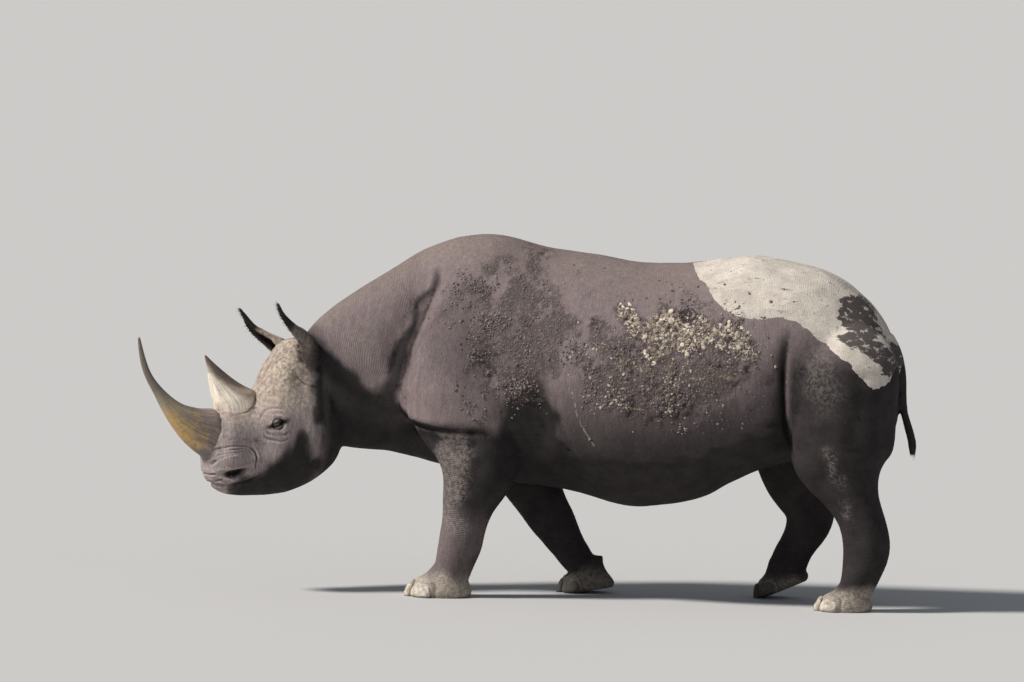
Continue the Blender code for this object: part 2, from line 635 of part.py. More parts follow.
def build_parts(flesh):
    """Parts the flesh into feet, lower and upper legs, ears, head, neck, tail and trunk."""
    for foot in FEET:
        box = ((-0.30, -0.17, -0.25), (0.30, 0.17, ANKLE_HEIGHT))
        part_off(flesh, f"foot_{foot}", *box, lambda points, foot=foot: from_foot(points, foot))
    for leg, (low, high) in LOWER_LEGS.items():
        part_off(flesh, f"lower_leg_{leg}", low, high)
    for leg, (side, low, high, rise) in UPPER_LEGS.items():
        part_off(flesh, f"upper_leg_{leg}", low, high, sloped(side, rise))
    for name, side in (("ear_left", 1), ("ear_right", -1)):
        part_off(flesh, name, *EAR_BOX, on_ear(side))
    part_off(flesh, "head", *HEAD_BOX, behind_jaw)
    part_off(flesh, "neck", *NECK_BOX)
    part_off(flesh, "tail", *TAIL_BOX)
    drop_crumbs(flesh)
    flesh.name = "trunk"


def finish():
    """Moves every body over the origin, shades it and gives it its material."""
    slots = {"horn": "horn", "nail": "nail", "eye": "eye"}
    for name, (colour, roughness) in MATERIALS.items():
        material = bpy.data.materials.new(name)
        material.use_nodes = True
        shader = material.node_tree.nodes["Principled BSDF"]
        shader.inputs["Base Color"].default_value = (*colour, 1)
        shader.inputs["Roughness"].default_value = roughness
    for thing in bpy.data.objects:
        points = np.empty(len(thing.data.vertices) * 3)
        thing.data.vertices.foreach_get("co", points)
        points = points.reshape(-1, 3) - [*BOX_MIDDLE, 0]
        thing.data.vertices.foreach_set("co", points.ravel())
        thing.data.materials.clear()
        thing.data.materials.append(bpy.data.materials[slots.get(thing.name.split("_")[0], "hide")])
        thing.data.shade_smooth()
        thing.data.update()


for leftover in list(bpy.data.objects):
    bpy.data.objects.remove(leftover)
skin = whole_flesh()
build_horns(skin)
build_eyes(skin)
build_nails(skin)
build_parts(skin)
finish()
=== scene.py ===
"""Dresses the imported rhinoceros: one skin with its folds and wrinkles, horns, nails, eyes, hair and mud.

The animal faces -X and its left side is -Y. The shapes start from the same stations as the solids, in the
modeller's frame, and every finished mesh is moved by BOX_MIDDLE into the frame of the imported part.
"""

import itertools
import math

import bmesh
import bpy
import numpy as np
from mathutils import Matrix, Vector


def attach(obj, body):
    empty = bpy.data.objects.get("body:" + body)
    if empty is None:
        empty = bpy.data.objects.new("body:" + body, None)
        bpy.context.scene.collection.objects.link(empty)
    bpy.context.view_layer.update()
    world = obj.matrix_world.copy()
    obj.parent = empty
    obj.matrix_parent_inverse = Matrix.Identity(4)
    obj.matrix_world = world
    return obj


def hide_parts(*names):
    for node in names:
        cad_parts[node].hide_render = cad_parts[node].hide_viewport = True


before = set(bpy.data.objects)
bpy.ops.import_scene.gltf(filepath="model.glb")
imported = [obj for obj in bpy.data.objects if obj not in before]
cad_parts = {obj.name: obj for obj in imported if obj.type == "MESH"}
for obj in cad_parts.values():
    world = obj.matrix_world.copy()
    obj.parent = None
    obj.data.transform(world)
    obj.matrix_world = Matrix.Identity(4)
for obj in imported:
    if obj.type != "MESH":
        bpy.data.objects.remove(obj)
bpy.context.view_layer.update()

# ---------------------------------------------------------------- the animal's measures, in metres
BOX_MIDDLE = np.array([-0.406, -0.085, 0.0])

# Trunk and neck: x, y of the mid-line, top, bottom, half width, egg (above 0 = widest low down).
TRUNK = {
    "tail head": (1.168, 0.000, 0.985, 0.860, 0.040, 0.00),
    "seat": (1.144, 0.000, 1.100, 0.760, 0.150, 0.00),
    "rump": (1.082, 0.000, 1.245, 0.680, 0.245, 0.02),
    "croup": (0.960, 0.000, 1.372, 0.630, 0.315, 0.05),
    "pelvis": (0.820, 0.000, 1.450, 0.635, 0.350, 0.06),
    "hips": (0.680, 0.000, 1.478, 0.610, 0.370, 0.08),
    "flank": (0.520, 0.000, 1.500, 0.552, 0.387, 0.10),
    "loin": (0.350, 0.000, 1.475, 0.462, 0.408, 0.13),
    "paunch": (0.160, 0.000, 1.450, 0.412, 0.424, 0.14),
    "belly": (0.020, 0.000, 1.453, 0.402, 0.428, 0.14),
    "ribs": (-0.180, 0.000, 1.480, 0.445, 0.412, 0.12),
    "girth": (-0.380, 0.000, 1.504, 0.478, 0.376, 0.10),
    "withers": (-0.570, 0.000, 1.549, 0.500, 0.334, 0.08),
    "shoulder": (-0.720, 0.000, 1.543, 0.530, 0.305, 0.05),
    "neck base": (-0.880, 0.000, 1.493, 0.565, 0.262, 0.02),
    "mid neck": (-1.020, -0.004, 1.410, 0.596, 0.232, 0.00),
    "nape": (-1.150, -0.020, 1.325, 0.606, 0.210, 0.00),
    "crest": (-1.270, -0.050, 1.240, 0.630, 0.190, 0.00),
    "atlas": (-1.370, -0.090, 1.150, 0.700, 0.150, 0.00),
    "skull": (-1.430, -0.115, 1.060, 0.780, 0.080, 0.00),
}

# Head: distance behind the lip, top, bottom, half width, egg.
HEAD_PIVOT = (-1.300, -0.070)  # x, y of the neck joint
HEAD_TURN = 35.0  # degrees to the animal's left
LIP_TO_PIVOT = 0.620
HEAD = {
    "lip": (0.030, 0.585, 0.520, 0.028, 0.00),
    "snout": (0.042, 0.650, 0.490, 0.062, 0.05),
    "nostril": (0.070, 0.742, 0.458, 0.092, 0.10),
    "front horn": (0.105, 0.785, 0.430, 0.112, 0.08),
    "mouth": (0.160, 0.793, 0.416, 0.114, 0.04),
    "rear horn": (0.215, 0.808, 0.414, 0.119, 0.04),
    "bridge": (0.265, 0.868, 0.414, 0.130, 0.08),
    "eye": (0.310, 0.950, 0.414, 0.145, 0.12),
    "brow": (0.355, 1.030, 0.418, 0.154, 0.15),
    "poll": (0.410, 1.082, 0.426, 0.160, 0.16),
    "ears": (0.470, 1.090, 0.446, 0.163, 0.14),
    "cheek": (0.540, 1.050, 0.480, 0.157, 0.08),
    "jaw angle": (0.610, 0.950, 0.535, 0.135, 0.00),
    "back": (0.665, 0.820, 0.620, 0.060, 0.00),
}

# Limbs, top to bottom: x, y (of the left side), z, half length fore and aft, half width.
FORE_NEAR = {
    "blade": (-0.660, -0.190, 1.220, 0.140, 0.085),
    "shoulder": (-0.700, -0.225, 1.020, 0.205, 0.120),
    "upper arm": (-0.690, -0.245, 0.840, 0.230, 0.130),
    "elbow": (-0.625, -0.252, 0.660, 0.195, 0.118),
    "forearm": (-0.622, -0.248, 0.530, 0.162, 0.106),
    "mid arm": (-0.650, -0.240, 0.430, 0.124, 0.098),
    "above wrist": (-0.672, -0.230, 0.335, 0.102, 0.090),
    "wrist": (-0.692, -0.225, 0.240, 0.096, 0.090),
    "pastern": (-0.716, -0.222, 0.150, 0.084, 0.085),
    "inside the foot": (-0.730, -0.222, 0.090, 0.075, 0.080),
}
FORE_FAR = {
    "blade": (-0.640, -0.190, 1.220, 0.140, 0.085),
    "shoulder": (-0.670, -0.225, 1.020, 0.200, 0.120),
    "upper arm": (-0.620, -0.245, 0.820, 0.220, 0.128),
    "elbow": (-0.545, -0.245, 0.640, 0.168, 0.112),
    "forearm": (-0.478, -0.238, 0.500, 0.136, 0.100),
    "mid arm": (-0.410, -0.228, 0.375, 0.108, 0.092),
    "above wrist": (-0.340, -0.218, 0.275, 0.095, 0.086),
    "wrist": (-0.292, -0.210, 0.205, 0.076, 0.084),
    "pastern": (-0.250, -0.206, 0.150, 0.070, 0.080),
    "inside the foot": (-0.222, -0.206, 0.110, 0.062, 0.070),
}
HIND_NEAR = {
    "hip": (0.895, -0.140, 1.190, 0.115, 0.090),
    "haunch": (0.940, -0.195, 1.080, 0.222, 0.170),
    "thigh": (0.952, -0.215, 0.900, 0.236, 0.186),
    "stifle": (0.952, -0.228, 0.720, 0.230, 0.168),
    "gaskin": (0.960, -0.236, 0.620, 0.196, 0.140),
    "shank": (0.998, -0.240, 0.510, 0.128, 0.112),
    "above hock": (1.044, -0.240, 0.400, 0.101, 0.098),
    "hock": (1.070, -0.240, 0.275, 0.103, 0.094),
    "cannon": (1.054, -0.240, 0.180, 0.087, 0.088),
    "pastern": (1.032, -0.240, 0.105, 0.074, 0.080),
    "inside the foot": (1.015, -0.240, 0.070, 0.070, 0.075),
}
HIND_FAR = {
    "hip": (0.880, -0.140, 1.190, 0.115, 0.090),
    "haunch": (0.890, -0.195, 1.080, 0.222, 0.170),
    "thigh": (0.830, -0.215, 0.900, 0.236, 0.180),
    "stifle": (0.735, -0.228, 0.730, 0.225, 0.160),
    "gaskin": (0.700, -0.236, 0.600, 0.186, 0.132),
    "shank": (0.732, -0.242, 0.450, 0.130, 0.108),
    "above hock": (0.756, -0.247, 0.370, 0.110, 0.098),
    "hock": (0.738, -0.252, 0.295, 0.093, 0.092),
    "cannon": (0.698, -0.255, 0.220, 0.080, 0.086),
    "pastern": (0.668, -0.256, 0.150, 0.080, 0.084),
    "inside the foot": (0.655, -0.256, 0.110, 0.070, 0.075),
}

# Feet: height above the sole, middle (behind the sole's middle), half length, half width.
FOOT = {
    "sole": (0.000, 0.000, 0.122, 0.106),
    "tread": (0.014, 0.000, 0.136, 0.117),
    "toes": (0.045, 0.004, 0.131, 0.117),
    "coronet": (0.082, 0.016, 0.101, 0.104),
    "ankle": (0.125, 0.034, 0.077, 0.088),
    "inside the leg": (0.165, 0.055, 0.070, 0.070),
}
TOE_ANGLES = (-56.0, 0.0, 56.0)
TOE_SWELL = 0.07  # of the foot's radius, at each toe
# Each foot: x, y and height of the sole's middle, heel lift in degrees, size, and how far it leans forward.
FEET = {
    "front_left": (-0.776, -0.222, -0.004, 0.0, 1.00, 0.0),
    "front_right": (-0.190, 0.206, 0.010, 8.0, 0.87, 0.22),
    "hind_left": (0.985, -0.240, -0.004, 0.0, 0.87, 0.0),
    "hind_right": (0.652, 0.256, 0.040, 23.0, 0.88, 0.0),
}

# Tail: x, y, z, radius.
TAIL = {
    "root": (1.090, 0.000, 1.160, 0.050),
    "dock": (1.140, 0.000, 1.070, 0.038),
    "upper": (1.168, 0.003, 0.960, 0.026),
    "middle": (1.186, 0.008, 0.850, 0.017),
    "lower": (1.212, 0.014, 0.760, 0.014),
    "tuft": (1.226, 0.017, 0.690, 0.0135),
    "end": (1.227, 0.018, 0.662, 0.009),
}

# Horns, in head space: front edge (distance behind the lip, height), rear edge, half width.
HORNS = {
    "horn_front": {
        "base": (0.052, 0.556, 0.104, 0.738, 0.074),
        "skin": (0.018, 0.581, 0.076, 0.786, 0.072),
        "low": (-0.022, 0.609, 0.026, 0.792, 0.068),
        "belly": (-0.066, 0.645, -0.030, 0.800, 0.061),
        "bend": (-0.117, 0.702, -0.087, 0.816, 0.050),
        "curve": (-0.169, 0.775, -0.140, 0.847, 0.038),
        "shaft": (-0.214, 0.852, -0.192, 0.892, 0.027),
        "point": (-0.260, 0.928, -0.236, 0.948, 0.016),
        "thorn": (-0.288, 1.005, -0.265, 1.016, 0.011),
        "tip": (-0.302, 1.098, -0.292, 1.106, 0.004),
    },
    "horn_rear": {
        "base": (0.092, 0.745, 0.274, 0.803, 0.060),
        "skin": (0.076, 0.792, 0.264, 0.856, 0.063),
        "low": (0.060, 0.840, 0.222, 0.880, 0.053),
        "blade": (0.045, 0.895, 0.150, 0.920, 0.036),
        "upper": (0.033, 0.949, 0.096, 0.960, 0.023),
        "point": (0.026, 0.988, 0.056, 0.993, 0.012),
        "tip": (0.018, 1.017, 0.024, 1.022, 0.003),
    },
}

# Ears, in head space mirrored to the left: distance behind the lip, side, height, radius and half the
# angle that stays open, in degrees.
EARS = {
    1: {
        "root": (0.495, -0.075, 0.945, 0.040, 4.0),
        "tube": (0.470, -0.108, 1.030, 0.045, 12.0),
        "cup": (0.430, -0.135, 1.082, 0.041, 44.0),
        "blade": (0.374, -0.152, 1.130, 0.029, 60.0),
        "fold": (0.322, -0.165, 1.174, 0.023, 64.0),
        "neck": (0.292, -0.172, 1.212, 0.018, 68.0),
        "tip": (0.274, -0.174, 1.256, 0.008, 76.0),
    },
    -1: {
        "root": (0.500, -0.095, 0.960, 0.045, 4.0),
        "tube": (0.452, -0.112, 1.020, 0.045, 12.0),
        "cup": (0.404, -0.128, 1.058, 0.037, 44.0),
        "blade": (0.352, -0.141, 1.090, 0.028, 60.0),
        "fold": (0.310, -0.149, 1.124, 0.022, 64.0),
        "neck": (0.284, -0.153, 1.160, 0.015, 70.0),
        "tip": (0.252, -0.155, 1.206, 0.008, 76.0),
    },
}
EAR_WALL = 0.012
EAR_FOOT = (0.495, 0.10, 0.985)  # where each ear grows out of the head, and how far its softening reaches
EAR_FOOT_REACH = (0.055, 0.06, 0.050)
# The way each ear's opening looks, in the left side's head space.
EAR_OPENS = {1: (-0.95, 0.10, 0.22), -1: (-0.97, 0.05, 0.20)}

EYE = (0.307, -0.121, 0.731)  # the left eye's middle, in head space
EYE_RADIUS = 0.024
EYE_DEPTH = 0.012  # how far the skin dives under the ball inside the opening
LID_OVER = 0.0045  # how far the lids lie outside the ball
GAZE = (-0.10, -1.0, 0.02)  # the way the left eye looks, in head space
LID_LENGTH = 0.0300  # half the opening's length
LID_HEIGHTS = (0.0088, 0.0068)  # above and below the middle of the opening
LID_SLANT = 0.36

# Folds round the eye, below and above it: half length, half height, depth, first and last angle.
LOWER_ARCS = (
    (0.038, 0.026, 0.0032, -170, -20), (0.058, 0.046, 0.0070, -165, -12),
    (0.070, 0.072, 0.0042, -150, -35),
)
UPPER_ARCS = (
    (0.036, 0.028, 0.0024, 190, 20), (0.050, 0.048, 0.0016, 185, 50),
    (0.066, 0.068, 0.0095, 190, 62),
)

NOSTRIL = (0.124, 0.515, 0.055, 0.021, 0.20)  # middle (s, z), half length, half height, slope

# Nails: three to a foot, flattened against the toes.
NAIL_REACH = 0.97  # of the foot's own radius
NAIL_HEIGHT = 0.034  # of the middle, above the sole
NAIL_RADII = (0.014, 0.045, 0.036)
NAIL_LEAN = 16.0  # degrees that a nail leans back
NAIL_CENTRE = 1.2  # times as large on the middle toe

FLESH_NODES = ["trunk", "neck", "head", "ear_left", "ear_right", "tail"]
FLESH_NODES += [part + foot for part in ("upper_leg_", "lower_leg_", "foot_") for foot in FEET]

LIMBS = ((FORE_NEAR, 1), (HIND_NEAR, 1), (FORE_FAR, -1), (HIND_FAR, -1))  # 1 for left, -1 for right

VOXEL = 0.006  # of the remesh that joins the flesh
SKIN_TRIANGLES = 186000

# Swellings and (below 0) hollows of the head: middle and radii in its (s, z) plane, and height.
HEAD_MOUNDS = (
    ((0.308, 0.738), (0.060, 0.056), 0.014),  # brow and eye
    ((0.50, 0.66), (0.10, 0.13), 0.014),  # cheek
    ((0.225, 0.655), (0.055, 0.045), -0.007),  # below the eye
    ((0.415, 0.905), (0.045, 0.060), -0.010),  # temple
    ((0.120, 0.580), (0.085, 0.038), 0.010),  # over the nostril
    ((0.195, 0.530), (0.022, 0.035), 0.006),  # behind the nostril
    ((0.345, 0.95), (0.050, 0.040), 0.008),  # before the ear
)
# The same for the body, in the (x, z) plane of each side, and x of each side's stifle.
BODY_MOUNDS = (
    ((-0.74, 1.02), (0.16, 0.26), 0.022),  # shoulder
    ((-0.80, 0.86), (0.12, 0.10), 0.012),  # point of the shoulder
    ((0.70, 1.33), (0.10, 0.07), 0.012),  # hip bone
    ((0.93, 0.90), (0.16, 0.22), 0.012),  # thigh
    ((-0.02, 0.80), (0.42, 0.25), 0.010),  # belly
)
STIFLE_X = {1: 0.85, -1: 0.66}


# ---------------------------------------------------------------- curves and lofts
def smooth_curve(rows, count, chord_columns):
    """A natural cubic curve through the rows of a table, read at `count` even steps of chord length."""
    rows = np.array(list(rows), float)
    steps = np.linalg.norm(np.diff(rows[:, chord_columns], axis=0), axis=1)
    knots = np.concatenate([[0.0], np.cumsum(steps)])
    n = len(knots)
    matrix, right = np.eye(n), np.zeros_like(rows)
    for i in range(1, n - 1):
        before, after = knots[i] - knots[i - 1], knots[i + 1] - knots[i]
        matrix[i, i - 1 : i + 2] = before, 2 * (before + after), after
        right[i] = 6 * ((rows[i + 1] - rows[i]) / after - (rows[i] - rows[i - 1]) / before)
    bend = np.linalg.solve(matrix, right)
    t = np.linspace(0, knots[-1], count)
    k = np.clip(np.searchsorted(knots, t, side="right") - 1, 0, n - 2)
    width = (knots[k + 1] - knots[k])[:, None]
    a = (knots[k + 1] - t)[:, None] / width
    b = 1 - a
    return (
        a * rows[k]
        + b * rows[k + 1]
        + ((a**3 - a) * bend[k] + (b**3 - b) * bend[k + 1]) * width**2 / 6
    )


def unit(vectors):
    """Each vector made 1 long."""
    return vectors / np.linalg.norm(vectors, axis=-1, keepdims=True)


def bell(distance, width):
    """e^-(d/w)^2 at a distance d: 1 on the spot, fading at a distance w."""
    return np.exp(-((distance / width) ** 2))


def full_turn(count):
    """Angles evenly round a circle, from 0."""
    return np.linspace(0, 2 * math.pi, count, endpoint=False)


def rounded(value, fullness):
    """A sine or cosine with its corners filled out: fullness under 1 makes an ellipse squarer."""
    return np.sign(value) * np.abs(value) ** fullness


def loft(rings):
    """A closed mesh over rings of points, an array (rings, points, 3), each end closed by a fan."""
    count, around = rings.shape[:2]
    points = np.concatenate([rings.reshape(-1, 3), rings[:1].mean(1), rings[-1:].mean(1)])
    first, last = count * around, count * around + 1
    index = np.arange(count * around).reshape(count, around)
    turned = np.roll(index, -1, axis=1)
    sides = np.stack([index[:-1], index[1:], turned[1:], turned[:-1]], axis=-1).reshape(-1, 4)
    start = np.stack([np.full(around, first), index[0], turned[0]], axis=-1)
    end = np.stack([np.full(around, last), turned[-1], index[-1]], axis=-1)
    return points, sides.tolist() + start.tolist() + end.tolist()


def egg_rings(x, y, top, bottom, half_width, egg, around, squareness):
    """Upright egg-shaped rings: half width by the cosine, height by the sine, with corners filled out."""
    angle = full_turn(around)[None, :]
    across, up = rounded(np.cos(angle), squareness[0]), rounded(np.sin(angle), squareness[1])
    side = y + half_width * across * (1 - egg * up)
    height = (top + bottom) / 2 + (top - bottom) / 2 * up
    return np.stack(np.broadcast_arrays(x, side, height), axis=-1)


def trunk_rings(count=90, around=64):
    """The trunk and neck, along the mid-line."""
    table = smooth_curve(TRUNK.values(), count, [0, 2])
    return egg_rings(*table.T[:, :, None], around, (0.92, 0.95))


def turned(axis, degrees):
    """A 3 x 3 turn about the x, y or z axis."""
    c, s = math.cos(math.radians(degrees)), math.sin(math.radians(degrees))
    i, j = {"x": (1, 2), "y": (2, 0), "z": (0, 1)}[axis]
    matrix = np.eye(3)
    matrix[i, i] = matrix[j, j] = c
    matrix[i, j], matrix[j, i] = -s, s
    return matrix


def head_frame():
    """The head's turn and the place of its lip."""
    turn = turned("z", HEAD_TURN)
    return turn, np.array([*HEAD_PIVOT, 0.0]) - turn @ [LIP_TO_PIVOT, 0, 0]


def from_head(points):
    """From head space to the world: in head space the lip is at x = 0 and the head looks along -x."""
    turn, lip = head_frame()
    return points @ turn.T + lip


def to_head(points):
    """From the world to head space."""
    turn, lip = head_frame()
    return (points - lip) @ turn


def head_rings(count=70, around=56):
    """Upright rings from the lip to the back of the jaw, in head space."""
    s, *rest = smooth_curve(HEAD.values(), count, [0, 1]).T[:, :, None]
    return from_head(egg_rings(s, 0.0, *rest, around, (0.85, 0.85)))


def foot_rings(count=30, around=48):
    """A foot standing at the origin and facing -x: ovals with three toes swelling in front."""
    height, middle, length, width = smooth_curve(FOOT.values(), count, [0, 1]).T[:, :, None]
    angle = np.linspace(-math.pi, math.pi, around, endpoint=False)[None, :]
    toes = sum(bell(np.degrees(angle) - toe, 20) for toe in TOE_ANGLES)
    swell = 1 + TOE_SWELL * (toes - 0.6) * np.clip(1 - height / 0.12, 0, 1)
    x = middle - length * np.cos(angle) * swell
    y = width * np.sin(angle) * swell
    return np.stack(np.broadcast_arrays(x, y, height), axis=-1)


def from_foot(points, foot):
    """Stands a foot in its place: leaning slides it forward as it rises, and lifting the heel tips it."""
    x, y, height, heel, size, lean = FEET[foot]
    slide = np.array([[1, 0, -lean], [0, 1, 0], [0, 0, 1]])
    return size * points @ (turned("y", -heel) @ slide).T + [x, y, height]


def tube_rings(middle, across_axis, first, second, around):
    """Rings square to a path: `first` radii in the plane of the path, `second` radii across it."""
    along = unit(np.gradient(middle, axis=0))
    inward = unit(np.cross(along, across_axis))
    across = np.cross(inward, along)
    angle = full_turn(around)[None, :, None]
    return (
        middle[:, None]
        + np.cos(angle) * first[:, None, None] * inward[:, None]
        + np.sin(angle) * second[:, None, None] * across[:, None]
    )


def limb_rings(stations, side, count=60, around=40):
    """A limb: half lengths lie fore and aft, half widths across. Side is 1 for the left, -1 right."""
    table = smooth_curve(stations.values(), count, [0, 2])
    return tube_rings(table[:, :3] * [1, side, 1], [0, 1, 0], table[:, 3], table[:, 4], around)


def tail_rings(count=40, around=16):
    """The tail, round in section."""
    table = smooth_curve(TAIL.values(), count, [0, 2])
    return tube_rings(table[:, :3], [0, 1, 0], table[:, 3], table[:, 3], around)


def horn_rings(horn, count, around):
    """A horn in the head's mid-plane: ovals that span its front and rear edges, from snout to tip."""
    table = smooth_curve(HORNS[horn].values(), count, [0, 1, 2, 3])
    middle, half = (table[:, :2] + table[:, 2:4]) / 2, (table[:, 2:4] - table[:, :2]) / 2
    angle = full_turn(around)[None, :]
    place = middle[:, None] + half[:, None] * np.cos(angle)[..., None]
    across = table[:, 4:] * np.sin(angle)
    return from_head(np.stack([place[..., 0], across, place[..., 1]], axis=-1))


def ear_rings(side, count=30, around=20):
    """An ear: C-shaped rings, an outer arc and back along an inner one, open on one side."""
    table = smooth_curve(EARS[side].values(), count, [0, 1, 2])
    middle, radius, opening = table[:, :3], table[:, 3], np.radians(table[:, 4])
    along = unit(np.gradient(middle, axis=0))
    front = unit(np.array(EAR_OPENS[side]) - (along @ EAR_OPENS[side])[:, None] * along)
    across = np.cross(along, front)
    sweep = np.linspace(0, 1, around)[None, :]
    outer = opening[:, None] + sweep * (2 * math.pi - 2 * opening[:, None])
    hollow = np.linspace(0.1, 1, count) ** 0.5 * np.maximum(radius - EAR_WALL, 0.25 * radius)
    angle = np.concatenate([outer, outer[:, ::-1]], axis=1)[:, :, None]
    reach = np.repeat(np.stack([radius, hollow], axis=1), around, 1)
    rings = middle[:, None] + reach[:, :, None] * (
        np.cos(angle) * front[:, None] + np.sin(angle) * across[:, None]
    )
    return from_head(rings * [1, side, 1])


def cup_loft(rings):
    """An ear's mesh: a loft whose root is closed by quads between its two arcs, and its tip too."""
    points, faces = loft(rings)
    count, around = rings.shape[:2]
    half = around // 2
    points, faces = points[:-2], faces[: (count - 1) * around]
    for row in (0, count - 1):
        start = row * around
        outer = start + np.arange(half)
        inner = start + around - 1 - np.arange(half)
        faces += np.stack([outer[:-1], outer[1:], inner[1:], inner[:-1]], axis=-1).tolist()
    return points, faces


def smoothstep(low, high, value):
    """0 below low, 1 above high, 3t^2 - 2t^3 between them. With low above high it runs the other way."""
    t = np.clip((value - low) / (high - low), 0, 1)
    return t * t * (3 - 2 * t)


# ---------------------------------------------------------------- random fields
def lattice(cell, seed):
    """A random value in -1..1 for each whole-number cell, hashed from its three coordinates."""
    n = cell.astype(np.int64)
    mixed = (n[..., 0] * 374761393 + n[..., 1] * 668265263 + n[..., 2] * 1440662683 + seed * 1274126177)
    mixed &= 0xFFFFFFFF
    mixed = ((mixed ^ (mixed >> 13)) * 1274126177) & 0xFFFFFFFF
    return ((mixed ^ (mixed >> 16)) & 0xFFFF) / 32767.5 - 1


def noise(points, size, seed=0):
    """Smooth random values in -1..1: lattice values blended by 3t^2 - 2t^3 across cells of `size`."""
    places = points / size
    cell = np.floor(places)
    t = places - cell
    t = t * t * (3 - 2 * t)
    total = 0
    for corner in itertools.product((0, 1), repeat=3):
        weight = np.prod(np.where(np.array(corner) == 1, t, 1 - t), axis=-1)
        total = total + weight * lattice(cell + corner, seed)
    return total


def rough(points, size, octaves=3, seed=0):
    """Noise at `size`, half that, a quarter and so on, each with 0.55 of the last one's strength."""
    total, strength = 0, 1.0
    for octave in range(octaves):
        total = total + strength * noise(points, size / 2**octave, seed + 17 * octave)
        strength *= 0.55
    return total


def creases(phase, sharpness=0.45):
    """0 on rounded crests and -1 in narrow valleys, one valley at every whole number of `phase`."""
    return np.abs(np.sin(np.pi * phase)) ** sharpness - 1


# ---------------------------------------------------------------- the skin's shaping
def from_path(places, path):
    """For each place of a plane: its distance from a path, how far along it is (0 to 1), and its side.

    The nearest point of each straight stretch is a + clip((p - a).(b - a) / |b - a|^2, 0, 1) (b - a)."""
    nearest, share, side = np.full(len(places), 1e9), np.zeros(len(places)), np.ones(len(places))
    for i, (a, b) in enumerate(zip(path[:-1], path[1:])):
        step = b - a
        t = np.clip((places - a) @ step / (step @ step), 0, 1)
        off = places - a - t[:, None] * step
        distance = np.linalg.norm(off, axis=1)
        closer = distance < nearest
        nearest[closer] = distance[closer]
        share[closer] = (i + t[closer]) / (len(path) - 1)
        side[closer] = np.sign(step[0] * off[closer, 1] - step[1] * off[closer, 0])
    return nearest, share, side


def read_mesh(mesh):
    """A mesh's points and normals, as arrays."""
    points, normals = (np.empty(len(mesh.vertices) * 3, np.float32) for _ in range(2))
    mesh.vertices.foreach_get("co", points)
    mesh.vertices.foreach_get("normal", normals)
    return points.reshape(-1, 3), normals.reshape(-1, 3)


def write_points(mesh, points):
    """Moves a mesh's vertices."""
    mesh.vertices.foreach_set("co", points.astype(np.float32).ravel())
    mesh.update()


class Clay:
    """The skin while it is shaped: its points, normals and places in head space."""

    def __init__(self, mesh):
        self.mesh = mesh
        self.read()

    def read(self):
        """Takes points and normals from the mesh."""
        points, normals = read_mesh(self.mesh)
        self.points, self.normals = points.astype(float), normals.astype(float)
        self.head = to_head(self.points)
        self.head_normals = self.normals @ turned("z", HEAD_TURN)

    def settle(self):
        """Writes the points to the mesh and reads its new normals."""
        write_points(self.mesh, self.points)
        self.read()

    def push(self, amount):
        """Moves every point along its normal."""
        self.points += np.asarray(amount)[:, None] * self.normals

    def flank(self, side):
        """The (x, z) plane seen from one side, and how squarely the skin there faces that side."""
        facing = -self.normals[:, 1] * side
        body = (self.points[:, 1] * side < 0.03) * smoothstep(0.50, 0.64, self.head[:, 0])
        return self.points[:, [0, 2]], smoothstep(0.0, 0.35, facing) * body

    def cheek(self, side):
        """The plane of the head seen from one side (distance behind the lip, height), and its facing."""
        facing = -self.head_normals[:, 1] * side
        here = (self.head[:, 0] < 0.72) & (self.head[:, 1] * side < 0.01)
        return self.head[:, [0, 2]], smoothstep(-0.1, 0.25, facing) * here

    def stroke(self, view, path, width, depth, lip=0.0, above=0.0, ends=0.12, waver=0.0):
        """Presses a groove: -depth e^-(d/w)^2, with a lip at 2w and a swelling on the left of the path.

        d is the distance from the path, w the width. Both ends fade out over `ends` of the length, and
        the path wavers by `waver`."""
        places, facing = view
        path = smooth_curve(path, 6 * len(path), [0, 1])
        reach = 5 * width + 4 * abs(waver)
        near = np.all((places > path.min(0) - reach) & (places < path.max(0) + reach), axis=1)
        near = np.flatnonzero(near & (facing > 0))
        here = places[near]
        if waver:
            shift = [noise(self.points[near], 9 * width, seed) for seed in (3, 4)]
            here = here + waver * np.stack(shift, axis=1)
        d, share, side = from_path(here, path)
        fade = smoothstep(0, ends, share) * smoothstep(1, 1 - ends, share)
        amount = lip * bell(d - 2 * width, width) - depth * bell(d, width)
        amount += above * (side > 0) * (d / width) * bell(d, 1.6 * width)
        if waver:
            amount *= np.clip(0.75 + 0.9 * noise(self.points[near], 10 * width, 5), 0.0, 1.4)
        self.points[near] += (amount * fade * facing[near])[:, None] * self.normals[near]

    def mound(self, view, middle, radii, height):
        """Raises (or with a negative height hollows) an oval: height e^-(dx/rx)^2 - (dz/rz)^2."""
        places, facing = view
        off = (places - middle) / radii
        self.push(height * np.exp(-(off**2).sum(1)) * facing)


